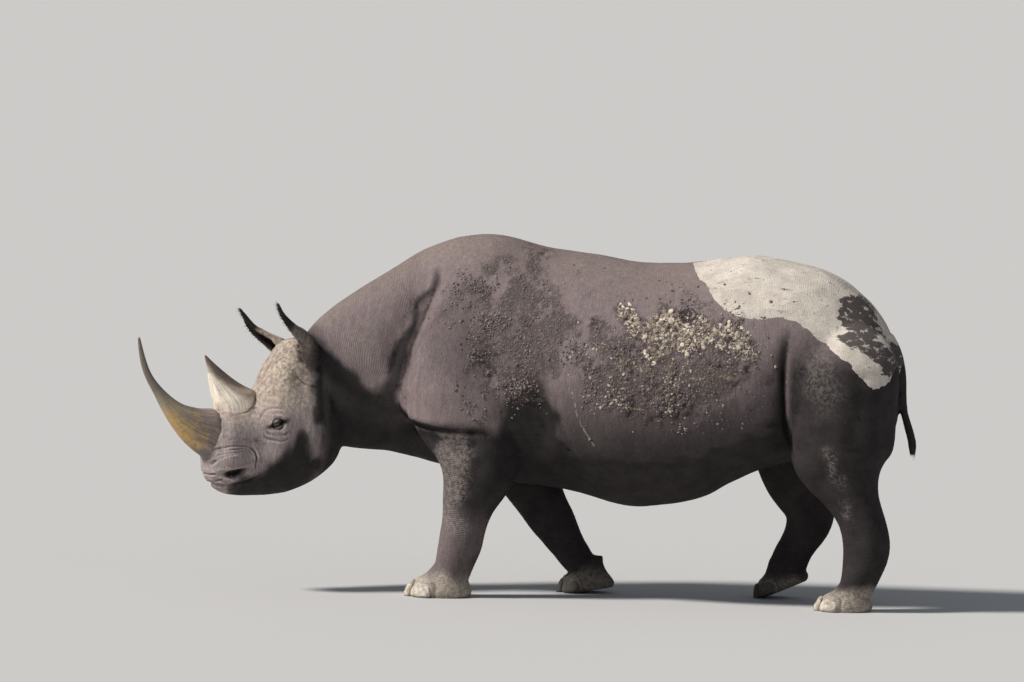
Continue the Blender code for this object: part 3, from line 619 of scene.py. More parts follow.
def flesh_form():
    """The rough skin: every loft joined by a voxel remesh, softened most where the limbs join."""
    lofts = [loft(trunk_rings()), loft(head_rings()), loft(tail_rings())]
    lofts += [cup_loft(ear_rings(side)) for side in (1, -1)]
    lofts += [loft(limb_rings(stations, side)) for stations, side in LIMBS]
    lofts += [loft(from_foot(foot_rings(), foot)) for foot in FEET]
    joined = bmesh.new()
    for points, faces in lofts:
        part = bpy.data.meshes.new("part")
        part.from_pydata(points.tolist(), [], faces)
        outward(part)
        joined.from_mesh(part)
        bpy.data.meshes.remove(part)
    mesh = bpy.data.meshes.new("skin")
    joined.to_mesh(mesh)
    joined.free()
    skin = bpy.data.objects.new("skin", mesh)
    bpy.context.collection.objects.link(skin)
    remesh = skin.modifiers.new("join", "REMESH")
    remesh.mode = "VOXEL"
    remesh.voxel_size = VOXEL
    apply_modifiers(skin)
    clay = Clay(skin.data)
    body = smoothstep(0.48, 0.62, clay.head[:, 0]) * smoothstep(0.10, 0.22, clay.points[:, 2])
    body *= smoothstep(1.16, 1.12, clay.points[:, 0])
    off = (np.abs(clay.head) - EAR_FOOT) / EAR_FOOT_REACH
    body = np.maximum(body, 0.8 * np.exp(-(off**2).sum(1)) * (clay.points[:, 0] < -1.0))
    for name, weight, factor, turns in (("all over", 0.15 + 0 * body, 0.5, 12), ("joins", body, 0.9, 36)):
        group = skin.vertex_groups.new(name=name)
        levels = np.round(weight * 20).astype(int)
        for level in np.unique(levels):
            group.add(np.flatnonzero(levels == level).tolist(), level / 20, "REPLACE")
        soften = skin.modifiers.new(name, "SMOOTH")
        soften.vertex_group = name
        soften.factor = factor
        soften.iterations = turns
    apply_modifiers(skin)
    skin.vertex_groups.clear()
    return skin


def apply_modifiers(thing):
    """Makes the modifiers' result the object's own mesh."""
    graph = bpy.context.evaluated_depsgraph_get()
    mesh = bpy.data.meshes.new_from_object(thing.evaluated_get(graph))
    thing.modifiers.clear()
    thing.data = mesh


def refine(mesh, middle, radius):
    """Splits every face within a radius of a place into four."""
    work = bmesh.new()
    work.from_mesh(mesh)
    middle = Vector(middle)
    faces = [face for face in work.faces if (face.calc_center_median() - middle).length < radius]
    edges = list({edge for face in faces for edge in face.edges})
    bmesh.ops.subdivide_edges(work, edges=edges, cuts=1, use_grid_fill=True)
    work.to_mesh(mesh)
    work.free()


def moved(path, across, up=0.0):
    """A path shifted in its own plane."""
    return [(a + across, b + up) for a, b in path]


def shape_body(clay):
    """The body's forms: shoulders, haunches, elbows and flanks, with the folds between them."""
    for side in (1, -1):
        view = clay.flank(side)
        for mound in (*BODY_MOUNDS, ((STIFLE_X[side], 0.62), (0.09, 0.10), 0.012)):
            clay.mound(view, *mound)
    clay.settle()
    for side in (1, -1):
        view = clay.flank(side)
        neck_fold = [
            (-0.80, 1.43), (-0.835, 1.33), (-0.872, 1.236), (-0.918, 1.115), (-0.948, 1.00),
            (-0.966, 0.90), (-0.972, 0.82),
        ]
        clay.stroke(view, moved(neck_fold, -0.055, 0.01), 0.070, 0.036, ends=0.35)
        clay.stroke(view, neck_fold, 0.022, 0.022, ends=0.30)
        clay.stroke(view, moved(neck_fold, 0.055), 0.045, -0.010, ends=0.30)
        armpit = [
            (-0.975, 0.86), (-0.966, 0.80), (-0.934, 0.764), (-0.89, 0.744), (-0.80, 0.726),
            (-0.66, 0.722), (-0.58, 0.722),
        ]
        clay.stroke(view, armpit, 0.014, 0.015, above=0.010, ends=0.2, waver=0.006)
        clay.stroke(view, moved(armpit[:-1], 0, 0.035), 0.035, -0.008, ends=0.3)
        clay.stroke(view, moved(armpit[1:], 0.01, -0.055), 0.05, 0.016, ends=0.2)
        elbow = [(-0.30, 1.08), (-0.335, 0.96), (-0.35, 0.86), (-0.345, 0.74), (-0.37, 0.62), (-0.42, 0.54)]
        clay.stroke(view, elbow, 0.060, 0.024, ends=0.45)
        skirt = [(-0.272, 0.98), (-0.268, 0.88), (-0.25, 0.80), (-0.216, 0.72), (-0.18, 0.67), (-0.13, 0.64)]
        clay.stroke(view, skirt[::-1], 0.014, 0.005, ends=0.45)
        clay.stroke(view, moved(skirt, 0.024), 0.020, -0.003, ends=0.45)
        shift = 0.0 if side == 1 else -0.12
        flank = [(0.715, 1.17), (0.712, 1.05), (0.714, 0.92), (0.716, 0.80), (0.728, 0.69), (0.775, 0.60)]
        flank = [(x + shift * smoothstep(1.1, 0.8, z), z) for x, z in flank]
        clay.stroke(view, moved(flank, -0.035), 0.070, 0.024, ends=0.35)
        clay.stroke(view, flank, 0.014, 0.016, ends=0.35)
        clay.stroke(view, moved(flank, 0.055), 0.045, -0.004, ends=0.35)
        clay.stroke(view, [(1.07, 1.06), (1.06, 0.92), (1.045, 0.78), (1.05, 0.66)], 0.05, 0.010)
        clay.stroke(view, [(0.90, 1.10), (0.86, 0.95), (0.87, 0.80)], 0.06, 0.004)
        clay.stroke(view, [(-0.62, 1.36), (-0.58, 1.22), (-0.56, 1.05), (-0.52, 0.92)], 0.06, 0.008)
    clay.settle()


def shape_neck(clay):
    """Upright wrinkles down the sides of the neck, arcs behind the ears and the crease behind the jaw."""
    for side in (1, -1):
        view = clay.flank(side)
        places, facing = view
        x, z = places.T
        along = x + 0.30 * (z - 1.0)
        along = along + 0.018 * noise(clay.points, 0.11, 7) + 0.03 * noise(clay.points, 0.3, 8)
        here = smoothstep(-1.36, -1.26, x) * smoothstep(-0.86, -0.96, x + 0.28 * (z - 1.0))
        here *= smoothstep(1.32, 1.16, z + 0.5 * (x + 1.1)) * (0.4 + 0.6 * smoothstep(0.60, 0.72, z))
        along = along + 0.010 * noise(clay.points, 0.045, 12)
        hem = bell(z - 0.93 + 0.55 * (x + 1.10), 0.07) * smoothstep(-1.20, -1.10, x)
        depth = (0.0010 + 0.0024 * hem) * np.clip(0.6 + 1.1 * noise(clay.points, 0.13, 9), 0.0, 1.6)
        clay.push(depth * creases(along / 0.015) * here * facing)
        clay.push(0.0030 * noise(clay.points * [1, 1, 0.35], 0.070, 11) * here * facing)
        behind_jaw = [(-1.335, 1.02), (-1.30, 0.90), (-1.285, 0.78), (-1.29, 0.66)]
        clay.stroke(view, behind_jaw, 0.035, 0.013, ends=0.3)
        crease = [(-1.345, 1.00), (-1.315, 0.89), (-1.30, 0.78), (-1.305, 0.67)]
        clay.stroke(view, crease, 0.012, 0.004, ends=0.3)
    clay.settle()
    for number in range(2):
        x = -1.235 + 0.055 * number
        for side in (1, -1):
            arc = [(x, 1.26 - 0.05 * (x + 1.25)), (x + 0.010, 1.18), (x - 0.005, 1.09), (x - 0.03, 1.02)]
            clay.stroke(clay.flank(side), arc, 0.014, 0.0022, waver=0.012, ends=0.3)
    clay.settle()


def shape_head(clay):
    """The head's forms: brows, cheeks, temples, the hollow below the eye, the muzzle round the nostrils and
    the skin before the ears.
    """
    for side in (1, -1):
        view = clay.cheek(side)
        for mound in HEAD_MOUNDS:
            clay.mound(view, *mound)
    clay.settle()


def shape_collars(clay):
    """Raises the skin in a wrinkled collar round each horn: height h e^-(d/r)^2 at a distance d from it."""
    near = np.flatnonzero((clay.head[:, 0] < 0.34) & (clay.head[:, 2] > 0.58))
    for horn, height in (("horn_front", 0.006), ("horn_rear", 0.005)):
        shell = horn_rings(horn, 60, 60)[:24].reshape(-1, 3)
        parts = np.array_split(near, max(1, len(near) // 400))
        gap = [np.linalg.norm(clay.points[rows, None] - shell[None], axis=2).min(1) for rows in parts]
        gap = np.concatenate(gap)
        frill = 0.8 + 0.6 * noise(clay.points[near], 0.014, 25) + 0.3 * noise(clay.points[near], 0.006, 26)
        amount = height * bell(gap, 0.016) * frill
        clay.points[near] += amount[:, None] * clay.normals[near]
    clay.settle()


def shape_face(clay):
    """The face's folds: mouth, nostrils, the rings round the eyes and the wrinkles over the muzzle."""
    for side in (1, -1):
        view = clay.cheek(side)
        mouth = [
            (0.014, 0.494), (0.040, 0.476), (0.072, 0.463), (0.112, 0.466), (0.154, 0.475),
            (0.200, 0.489), (0.240, 0.508),
        ]
        clay.stroke(view, mouth, 0.0055, 0.009, lip=0.0020, ends=0.2)
        reach = nostril_reach(clay.head, side)
        clay.push(-0.030 * smoothstep(1.10, 0.45, reach) + 0.0035 * bell(reach - 1.30, 0.20))
        over = [
            (-0.010, 0.598), (0.055, 0.622), (0.110, 0.634), (0.165, 0.635), (0.202, 0.620),
            (0.215, 0.585), (0.212, 0.548), (0.226, 0.512),
        ]
        clay.stroke(view, over, 0.0050, 0.0070, lip=0.0024, waver=0.005, ends=0.2)
        for inward, end, depth in ((0.011, 7, 0.0042), (0.022, 6, 0.0034), (0.031, 5, 0.0024)):
            line = [(x + (0.107 - x) * inward / 0.107, z - inward) for x, z in over[:end]]
            clay.stroke(view, line, 0.0040, depth, lip=0.0016, waver=0.006, ends=0.25)
        for rise, depth in ((0.018, 0.0024), (0.032, 0.0016)):
            clay.stroke(view, moved(over[1:6], 0, rise), 0.0045, depth, lip=0.0010, waver=0.008, ends=0.3)
        for low, high in (
            ((0.002, 0.520), (0.034, 0.541)), ((0.024, 0.496), (0.055, 0.514)),
            ((0.050, 0.474), (0.080, 0.490)), ((0.000, 0.548), (0.026, 0.566)),
            ((0.034, 0.548), (0.052, 0.574)),
        ):
            middle = ((low[0] + high[0]) / 2 - 0.003, (low[1] + high[1]) / 2 + 0.002)
            clay.stroke(view, [low, middle, high], 0.0046, 0.0070, lip=0.0018, waver=0.002, ends=0.25)
        for number in range(2):
            low = 0.014 * number
            chin = [(0.09, 0.444 - low), (0.15, 0.448 - low), (0.22, 0.464 - low), (0.27, 0.481 - 0.7 * low)]
            clay.stroke(view, chin, 0.0050, 0.0014, waver=0.006, ends=0.25)
        for arcs, drop, count, width, lip in (
            (LOWER_ARCS, 0.002, 14, 0.0046, 0.0024), (UPPER_ARCS, 0.0, 16, 0.0048, 0.0022),
        ):
            for wide, tall, depth, first, last in arcs:
                angle = np.radians(np.linspace(first, last, count))
                arc = [wide * np.cos(angle) + EYE[0] - 0.002, tall * np.sin(angle) + EYE[2] - drop]
                clay.stroke(view, np.stack(arc, axis=1), width, depth, lip=lip, ends=0.3, waver=0.004)
        for number in range(4):
            lean = 0.016 * number
            crow = [
                (0.39 + 0.2 * lean, 0.77 - lean), (0.414, 0.765 - 1.2 * lean),
                (0.436, 0.745 - 1.5 * lean),
            ]
            clay.stroke(view, crow, 0.0035, 0.0014, waver=0.003, ends=0.25)
        under_ear = [(0.387, 0.955), (0.405, 0.926), (0.436, 0.903), (0.484, 0.889), (0.533, 0.884)]
        clay.stroke(view, under_ear, 0.006, 0.0028, lip=0.0010, ends=0.35, waver=0.004)
    clay.settle()
    forehead = smoothstep(0.26, 0.32, clay.head[:, 0]) * smoothstep(0.50, 0.42, clay.head[:, 0])
    forehead *= smoothstep(0.86, 0.94, clay.head[:, 2])
    phase = (clay.head[:, 1] + 0.25 * (clay.head[:, 2] - 1.0)) / 0.021
    phase = phase + 1.2 * noise(clay.points, 0.055, 21) + 0.4 * noise(clay.points, 0.02, 22)
    clay.push((0.0020 * creases(phase) + 0.0040 * noise(clay.points * [1, 1, 0.45], 0.030, 23)) * forehead)
    clay.settle()


def nostril_reach(head, side):
    """How far out each place of head space lies from a nostril: 1 on its rim, 0 at its middle.

    The nostril is an oval of half length a and half height b, its rear end a little higher."""
    u, v = head[:, 0] - NOSTRIL[0], head[:, 2] - NOSTRIL[1]
    reach = np.hypot(u / NOSTRIL[2], (v - NOSTRIL[4] * u - 4.0 * u**2) / NOSTRIL[3])
    return np.where((head[:, 1] * side < 0) & (head[:, 0] < 0.30), reach, 9.0)


def lid_gap(u, v):
    """Height over the slanting middle line of an eye's opening, and the opening's half height there."""
    slant = v - LID_SLANT * u
    return slant, np.where(slant > 0, LID_HEIGHTS[0], LID_HEIGHTS[1])


def almond_distance(head, side):
    """How far out each place of head space lies from an eye's opening: 1 on its rim, 0 at its middle."""
    u, v = head[:, 0] - EYE[0], head[:, 2] - EYE[2]
    slant, half = lid_gap(u, v)
    reach = np.hypot(slant / half, u / LID_LENGTH * 1.05)
    return np.where(head[:, 1] * side < 0, reach, 9.0)


def shape_lids(clay):
    """Closes the lids round each eyeball: outside the almond the skin rides over it, inside it dives under.

    Round the eye's middle, u runs back, v up and w outward. The lids lie on a ball of radius R, LID_OVER
    outside the eye: w = sqrt(R^2 - u^2 - v^2). The opening is an almond |v| < h (1 - (u / L)^2)."""
    for side in (1, -1):
        u = clay.head[:, 0] - EYE[0]
        v = clay.head[:, 2] - EYE[2]
        w = -clay.head[:, 1] * side + EYE[1]
        lid_radius = EYE_RADIUS + LID_OVER
        far = u**2 + v**2
        here = (far < 0.05**2) & (w > -0.02)
        over = np.sqrt(np.maximum(lid_radius**2 - far, 0.0))
        slant, half = lid_gap(u, v)
        almond = np.abs(slant) / (half * np.maximum(1 - (u / LID_LENGTH) ** 2, 0.02))
        hole = smoothstep(1.12, 0.92, almond) * (np.abs(u) < LID_LENGTH * 1.05)
        rim = bell(almond - 1.25, 0.22) * (np.abs(u) < LID_LENGTH * 1.2)
        lids = np.maximum(over, w * smoothstep(0.018, 0.030, np.sqrt(far)))
        target = lids * (1 - hole) + (over - EYE_DEPTH) * hole + 0.0018 * rim
        blend = smoothstep(0.040, 0.026, np.sqrt(far)) * here
        new_w = w + (target - w) * blend
        clay.head[:, 1] = np.where(here, -(new_w - EYE[1]) * side, clay.head[:, 1])
    clay.points = from_head(clay.head)
    clay.settle()


def shape_limbs(clay):
    """Rings of wrinkles round the wrists, hocks and pasterns, a rim at the coronet, the toes and their
    clefts.
    """
    for stations, side in LIMBS:
        table = smooth_curve(stations.values(), 80, [0, 2])[30:]
        middle = table[:, :3] * [1, side, 1]
        x, y, z = clay.points.T
        low = (y * side < -0.03) & (z < 0.62)
        low &= np.abs(x - np.interp(z, middle[::-1, 2], middle[::-1, 0])) < 0.26
        rows = np.flatnonzero(low)
        _, share, _ = from_path(clay.points[rows][:, [0, 2]], middle[:, [0, 2]])
        length = np.linalg.norm(np.diff(middle, axis=0), axis=1).sum()
        phase = share * length + 0.006 * noise(clay.points[rows], 0.06, 31)
        wrists = smoothstep(0.50, 0.72, share) * smoothstep(1.02, 0.96, share)
        broken = np.clip(0.7 + 0.9 * noise(clay.points[rows], 0.10, 32), 0.1, 1.4)
        amount = (0.0015 if side == 1 else 0.0009) * creases(phase / 0.0150) * wrists * broken
        clay.points[rows] += amount[:, None] * clay.normals[rows]
    clay.settle()
    for x, y, height, heel, size, lean in FEET.values():
        local = (clay.points - [x, y, height]) @ turned("y", -heel) / size
        local[:, 0] += lean * local[:, 2]
        here = (np.abs(local[:, 0]) < 0.22) & (np.abs(local[:, 1]) < 0.17) & (local[:, 2] < 0.10)
        here &= local[:, 2] > -0.05
        around = np.degrees(np.arctan2(local[:, 1], -local[:, 0]))
        cleft = sum(bell(around - gap, 5) for gap in (-28, 28, -86, 86))
        cleft *= smoothstep(0.085, 0.05, local[:, 2]) * smoothstep(0.0, 0.01, local[:, 2])
        rim = bell(local[:, 2] - 0.074, 0.008) * (np.abs(around) < 88)
        toes = sum(bell(around - toe, 17) for toe in TOE_ANGLES)
        toes *= smoothstep(0.115, 0.075, local[:, 2]) * smoothstep(0.0, 0.02, local[:, 2])
        clay.push((-0.006 * cleft + 0.0035 * rim + 0.007 * toes) * here)
    clay.settle()


def shape_hide(clay):
    """The hide's own relief: soft unevenness, a net of fine folds, and crusts of mud on the sides."""
    points = clay.points
    body = smoothstep(0.50, 0.70, clay.head[:, 0])
    soft = 0.0035 * noise(points, 0.16, 41) + 0.0022 * noise(points, 0.07, 42)
    net = -0.0003 * smoothstep(0.10, 0.0, np.abs(noise(points, 0.034, 43)))
    net *= smoothstep(0.7, 0.9, points[:, 2])
    pebbles = 0.0004 * rough(points, 0.012, 2, 45)
    clay.push((soft * (0.35 + 0.65 * body)) + net + pebbles)
    crust = mud_crust(points)
    lumps = np.maximum(rough(points, 0.045, 3, 46) - 0.1, 0.0)
    clay.push(crust * 0.009 * lumps)
    slab = one_sided(points, SLAB, 1, 0.03, 0.012)
    clay.push(slab * (0.004 + 0.006 * rough(points, 0.035, 2, 47)))
    clay.settle()


# ---------------------------------------------------------------- where the hide's markings lie
def inside(places, outline, waver=0.0):
    """Distance to a closed outline, above 0 inside it. A place is inside when a ray crosses it oddly."""
    corners = smooth_curve(outline + outline[:1], 6 * len(outline), [0, 1])
    low, high = corners.min(0) - 0.12, corners.max(0) + 0.12
    near = np.flatnonzero(np.all((places > low) & (places < high), axis=1))
    here = places[near]
    if waver:
        spot = np.column_stack([here, 0 * here[:, 0]])
        here = here + waver * np.stack([rough(spot, 0.09, 3, seed) for seed in (51, 52)], axis=1)
    distance, _, _ = from_path(here, corners)
    odd = np.zeros(len(here), bool)
    for (x0, z0), (x1, z1) in zip(corners[:-1], corners[1:]):
        if z0 != z1:
            crosses = (here[:, 1] > min(z0, z1)) & (here[:, 1] <= max(z0, z1))
            odd ^= crosses & (here[:, 0] < x0 + (here[:, 1] - z0) * (x1 - x0) / (z1 - z0))
    result = np.full(len(places), -0.12)
    result[near] = np.clip(np.where(odd, distance, -distance), -0.12, 0.12)
    return result


# Outlines of the hide's markings and of its painted shade, in the (x, z) plane of each side.
RUMP_LEFT = [
    (0.12, 1.60), (0.145, 1.500), (0.215, 1.470), (0.300, 1.42), (0.365, 1.350), (0.445, 1.288),
    (0.506, 1.256), (0.559, 1.249), (0.628, 1.26), (0.702, 1.262), (0.759, 1.243), (0.826, 1.197),
    (0.889, 1.144), (0.965, 1.088), (1.044, 1.028), (1.085, 0.980), (1.132, 0.974), (1.165, 1.01),
    (1.175, 1.06), (1.19, 1.10), (1.25, 1.20), (1.10, 1.60), (0.60, 1.70),
]
RUMP_RIGHT = [
    (0.30, 1.62), (0.33, 1.44), (0.42, 1.36), (0.52, 1.30), (0.62, 1.31), (0.72, 1.26),
    (0.84, 1.22), (0.93, 1.12), (1.02, 1.08), (1.10, 1.12), (1.25, 1.22), (1.10, 1.60), (0.60, 1.70),
]
BLOTCH_LEFT = [
    (0.933, 1.335), (0.976, 1.354), (1.028, 1.338), (1.074, 1.262), (1.128, 1.169), (1.185, 1.100),
    (1.180, 1.030), (1.150, 1.010), (1.120, 1.075), (1.051, 1.123), (0.981, 1.142), (0.927, 1.184),
    (0.962, 1.207), (0.926, 1.257), (0.916, 1.30),
]
BLOTCH_RIGHT = [(0.55, 1.40), (0.63, 1.42), (0.68, 1.37), (0.64, 1.31), (0.57, 1.33)]
PALE_LEFT = [
    (-0.12, 1.187), (0.01, 1.243), (0.183, 1.284), (0.357, 1.281), (0.532, 1.252), (0.60, 1.147),
    (0.573, 0.995), (0.497, 0.862), (0.368, 0.815), (0.193, 0.83), (0.019, 0.803), (-0.112, 0.82),
    (-0.18, 0.969),
]
PALE_RIGHT = [
    (-0.45, 1.20), (-0.25, 1.32), (0.02, 1.30), (0.20, 1.20), (0.30, 1.02), (0.18, 0.86),
    (-0.06, 0.80), (-0.30, 0.84), (-0.46, 0.98),
]
DARK_LEFT = [
    (-0.392, 1.565), (-0.261, 1.527), (-0.256, 1.311), (-0.123, 1.186), (-0.25, 1.008),
    (-0.334, 0.876), (-0.507, 0.827), (-0.639, 0.909), (-0.601, 1.126), (-0.691, 1.253),
    (-0.563, 1.387),
]
DARK_RIGHT = [
    (0.20, 1.36), (0.42, 1.30), (0.62, 1.18), (0.66, 1.00), (0.56, 0.84), (0.38, 0.80),
    (0.30, 0.98), (0.24, 1.14),
]
# ELBOW, THROAT and JAW outline painted shade: behind the elbow, on the neck under the head, and low on the
# cheek and jaw.
ELBOW = [
    (-0.460, 1.000), (-0.370, 1.020), (-0.315, 0.980), (-0.290, 0.900), (-0.274, 0.840), (-0.245, 0.760),
    (-0.205, 0.690), (-0.165, 0.635), (-0.200, 0.500), (-0.500, 0.500), (-0.560, 0.620), (-0.520, 0.760),
    (-0.500, 0.900),
]
# Pale scuffs; the left side's second outline, on the haunch, is a painted highlight.
SCUFFS_AND_HIGHLIGHTS = {
    1: (
        [
            (-0.776, 0.704), (-0.624, 0.709), (-0.643, 0.601), (-0.676, 0.492), (-0.704, 0.383),
            (-0.658, 0.298), (-0.745, 0.295), (-0.79, 0.48),
        ],
        [(0.920, 0.680), (0.950, 0.690), (0.962, 0.62), (0.950, 0.575), (0.928, 0.61)],
        [(0.985, 0.490), (1.005, 0.470), (1.000, 0.410), (0.982, 0.430)],
        [(-1.216, 1.135), (-1.107, 1.147), (-1.113, 1.008), (-1.183, 1.006)],
    ),
    -1: (
        [(0.90, 0.66), (0.98, 0.70), (1.00, 0.60), (0.95, 0.52)],
        [(-0.62, 0.86), (-0.50, 0.90), (-0.46, 0.74), (-0.52, 0.62), (-0.60, 0.70)],
    ),
}
THIGH = [(0.777, 1.100), (0.850, 1.120), (0.920, 1.050), (0.970, 0.900), (0.900, 0.860), (0.840, 0.920)]
THROAT = [
    (-1.42, 1.150), (-1.336, 1.090), (-1.282, 1.034), (-1.216, 0.980), (-1.149, 0.930), (-1.085, 0.876),
    (-1.052, 0.885), (-1.025, 0.968), (-1.005, 1.055), (-0.960, 1.143), (-0.913, 1.223), (-0.860, 1.330),
    (-0.822, 1.405), (-0.828, 1.350), (-0.868, 1.240), (-0.918, 1.118), (-0.948, 1.010), (-0.966, 0.908),
    (-0.972, 0.815), (-0.936, 0.763), (-0.860, 0.724), (-0.792, 0.714), (-0.786, 0.600), (-0.800, 0.480),
    (-1.300, 0.500), (-1.500, 0.700),
]
JAW = [  # in the head's (s, z) plane
    (0.158, 0.491), (0.234, 0.512), (0.272, 0.546), (0.324, 0.562), (0.357, 0.613), (0.375, 0.660),
    (0.403, 0.699), (0.423, 0.664), (0.438, 0.616), (0.464, 0.564), (0.497, 0.572), (0.510, 0.624),
    (0.519, 0.675), (0.517, 0.727), (0.478, 0.754), (0.468, 0.797), (0.485, 0.857), (0.461, 0.884),
    (0.494, 0.918), (0.511, 0.995), (0.620, 0.980), (0.640, 0.700), (0.600, 0.400), (0.400, 0.340),
    (0.200, 0.380), (0.130, 0.440),
]
SLAB = [  # on the left side only, as are the next two
    (-0.02, 1.271), (0.09, 1.253), (0.22, 1.265), (0.31, 1.243), (0.45, 1.214), (0.56, 1.153),
    (0.55, 1.10), (0.47, 1.10), (0.38, 1.136), (0.32, 1.09), (0.23, 1.121), (0.16, 1.08),
    (0.12, 1.139), (0.04, 1.184),
]
HOLES = [(0.23, 1.270), (0.28, 1.290), (0.33, 1.240), (0.31, 1.205), (0.26, 1.233)]
SCRATCH = [(-0.205, 0.94), (-0.192, 0.913), (-0.168, 0.818), (-0.132, 0.746), (-0.091, 0.683)]
# Paths along which recesses() paints shade, before the thigh and under the armpit.
THIGH_EDGE = [(0.735, 1.24), (0.722, 1.12), (0.716, 1.00), (0.716, 0.88), (0.722, 0.76), (0.745, 0.66)]
ARMPIT_EDGE = [
    (-0.975, 0.84), (-0.960, 0.790), (-0.92, 0.752), (-0.84, 0.730), (-0.66, 0.722), (-0.53, 0.715),
]


def side_fields(points, left, right, waver, wide):
    """How far inside a left or right outline each point is, from 0 to 1 across 2 x wide."""
    places = points[:, [0, 2]]
    sides = (smoothstep(-wide, wide, inside(places, outline, waver)) for outline in (left, right))
    return np.where(points[:, 1] < 0, *sides)


def one_sided(points, outline, side, waver, wide):
    """The same for an outline that lies on one side only, 1 for the left and -1 for the right."""
    field = smoothstep(-wide, wide, inside(points[:, [0, 2]], outline, waver))
    return field * (points[:, 1] * side < 0)


def mud_crust(points):
    """Where clods of mud cling to the sides, from 0 to 1."""
    pale = side_fields(points, PALE_LEFT, PALE_RIGHT, 0.05, 0.05)
    dark = side_fields(points, DARK_LEFT, DARK_RIGHT, 0.05, 0.05)
    return np.maximum(pale, 0.6 * dark)


def hollowness(mesh, points, normals, turns):
    """How far each point lies below its neighbours' mean after some rounds of averaging, in metres."""
    edges = np.empty(len(mesh.edges) * 2, np.int32)
    mesh.edges.foreach_get("vertices", edges)
    a, b = edges.reshape(-1, 2).T
    count = np.bincount(a, minlength=len(points)) + np.bincount(b, minlength=len(points))
    soft = points.copy()
    for _ in range(turns):
        total = np.zeros_like(soft)
        for axis in range(3):
            total[:, axis] = np.bincount(a, soft[b, axis], len(points))
            total[:, axis] += np.bincount(b, soft[a, axis], len(points))
        soft = 0.5 * soft + 0.5 * total / np.maximum(count, 1)[:, None]
    return ((soft - points) * normals).sum(1)


def ear_shades(head):
    """How dark each ear is painted: painted shade inside its cup and all over the left one's back, and
    darker towards its tip.
    """
    shade = np.zeros(len(head))
    for side, back in ((1, 0.66), (-1, 0.10)):
        table = smooth_curve(EARS[side].values(), 60, [0, 1, 2])
        here = np.flatnonzero((head[:, 1] * side < 0.02) & (head[:, 2] > 0.98) & (head[:, 0] < 0.54))
        gap = np.linalg.norm(head[here, None] * [1, side, 1] - table[None, :, :3], axis=2)
        way, gap, radius = gap.argmin(1) / 59, gap.min(1), table[gap.argmin(1), 3]
        inner = smoothstep(radius - 0.2 * EAR_WALL, radius - 0.8 * EAR_WALL, gap) * (way > 0.2)
        outer = np.maximum(back * smoothstep(0.05, 0.25, way), smoothstep(0.55, 0.72, way))
        dark = np.maximum(0.97 * inner, outer)
        shade[here] = dark * smoothstep(1.45, 1.15, gap / radius)
    return shade


def recesses(points):
    """Painted shade in the hollows before the thigh and under the armpit, from 0 to 1.

    Each lies on one side of its path at a distance d and fades as e^-(d/w)^2, w growing down the path."""
    result = []
    for path, toward, thin, wide, most in (
        (THIGH_EDGE, -1, 0.030, 0.085, 1.0), (ARMPIT_EDGE, 1, 0.020, 0.034, 0.97),
    ):
        d, share, side = from_path(points[:, [0, 2]], smooth_curve(path, 40, [0, 1]))
        width = np.where(side * toward > 0, thin + (wide - thin) * share, 0.006)
        fade = smoothstep(0.0, 0.22, share) * smoothstep(1.0, 0.90, share)
        result.append(most * bell(d, width) * fade * (np.abs(points[:, 1]) > 0.10))
    return result


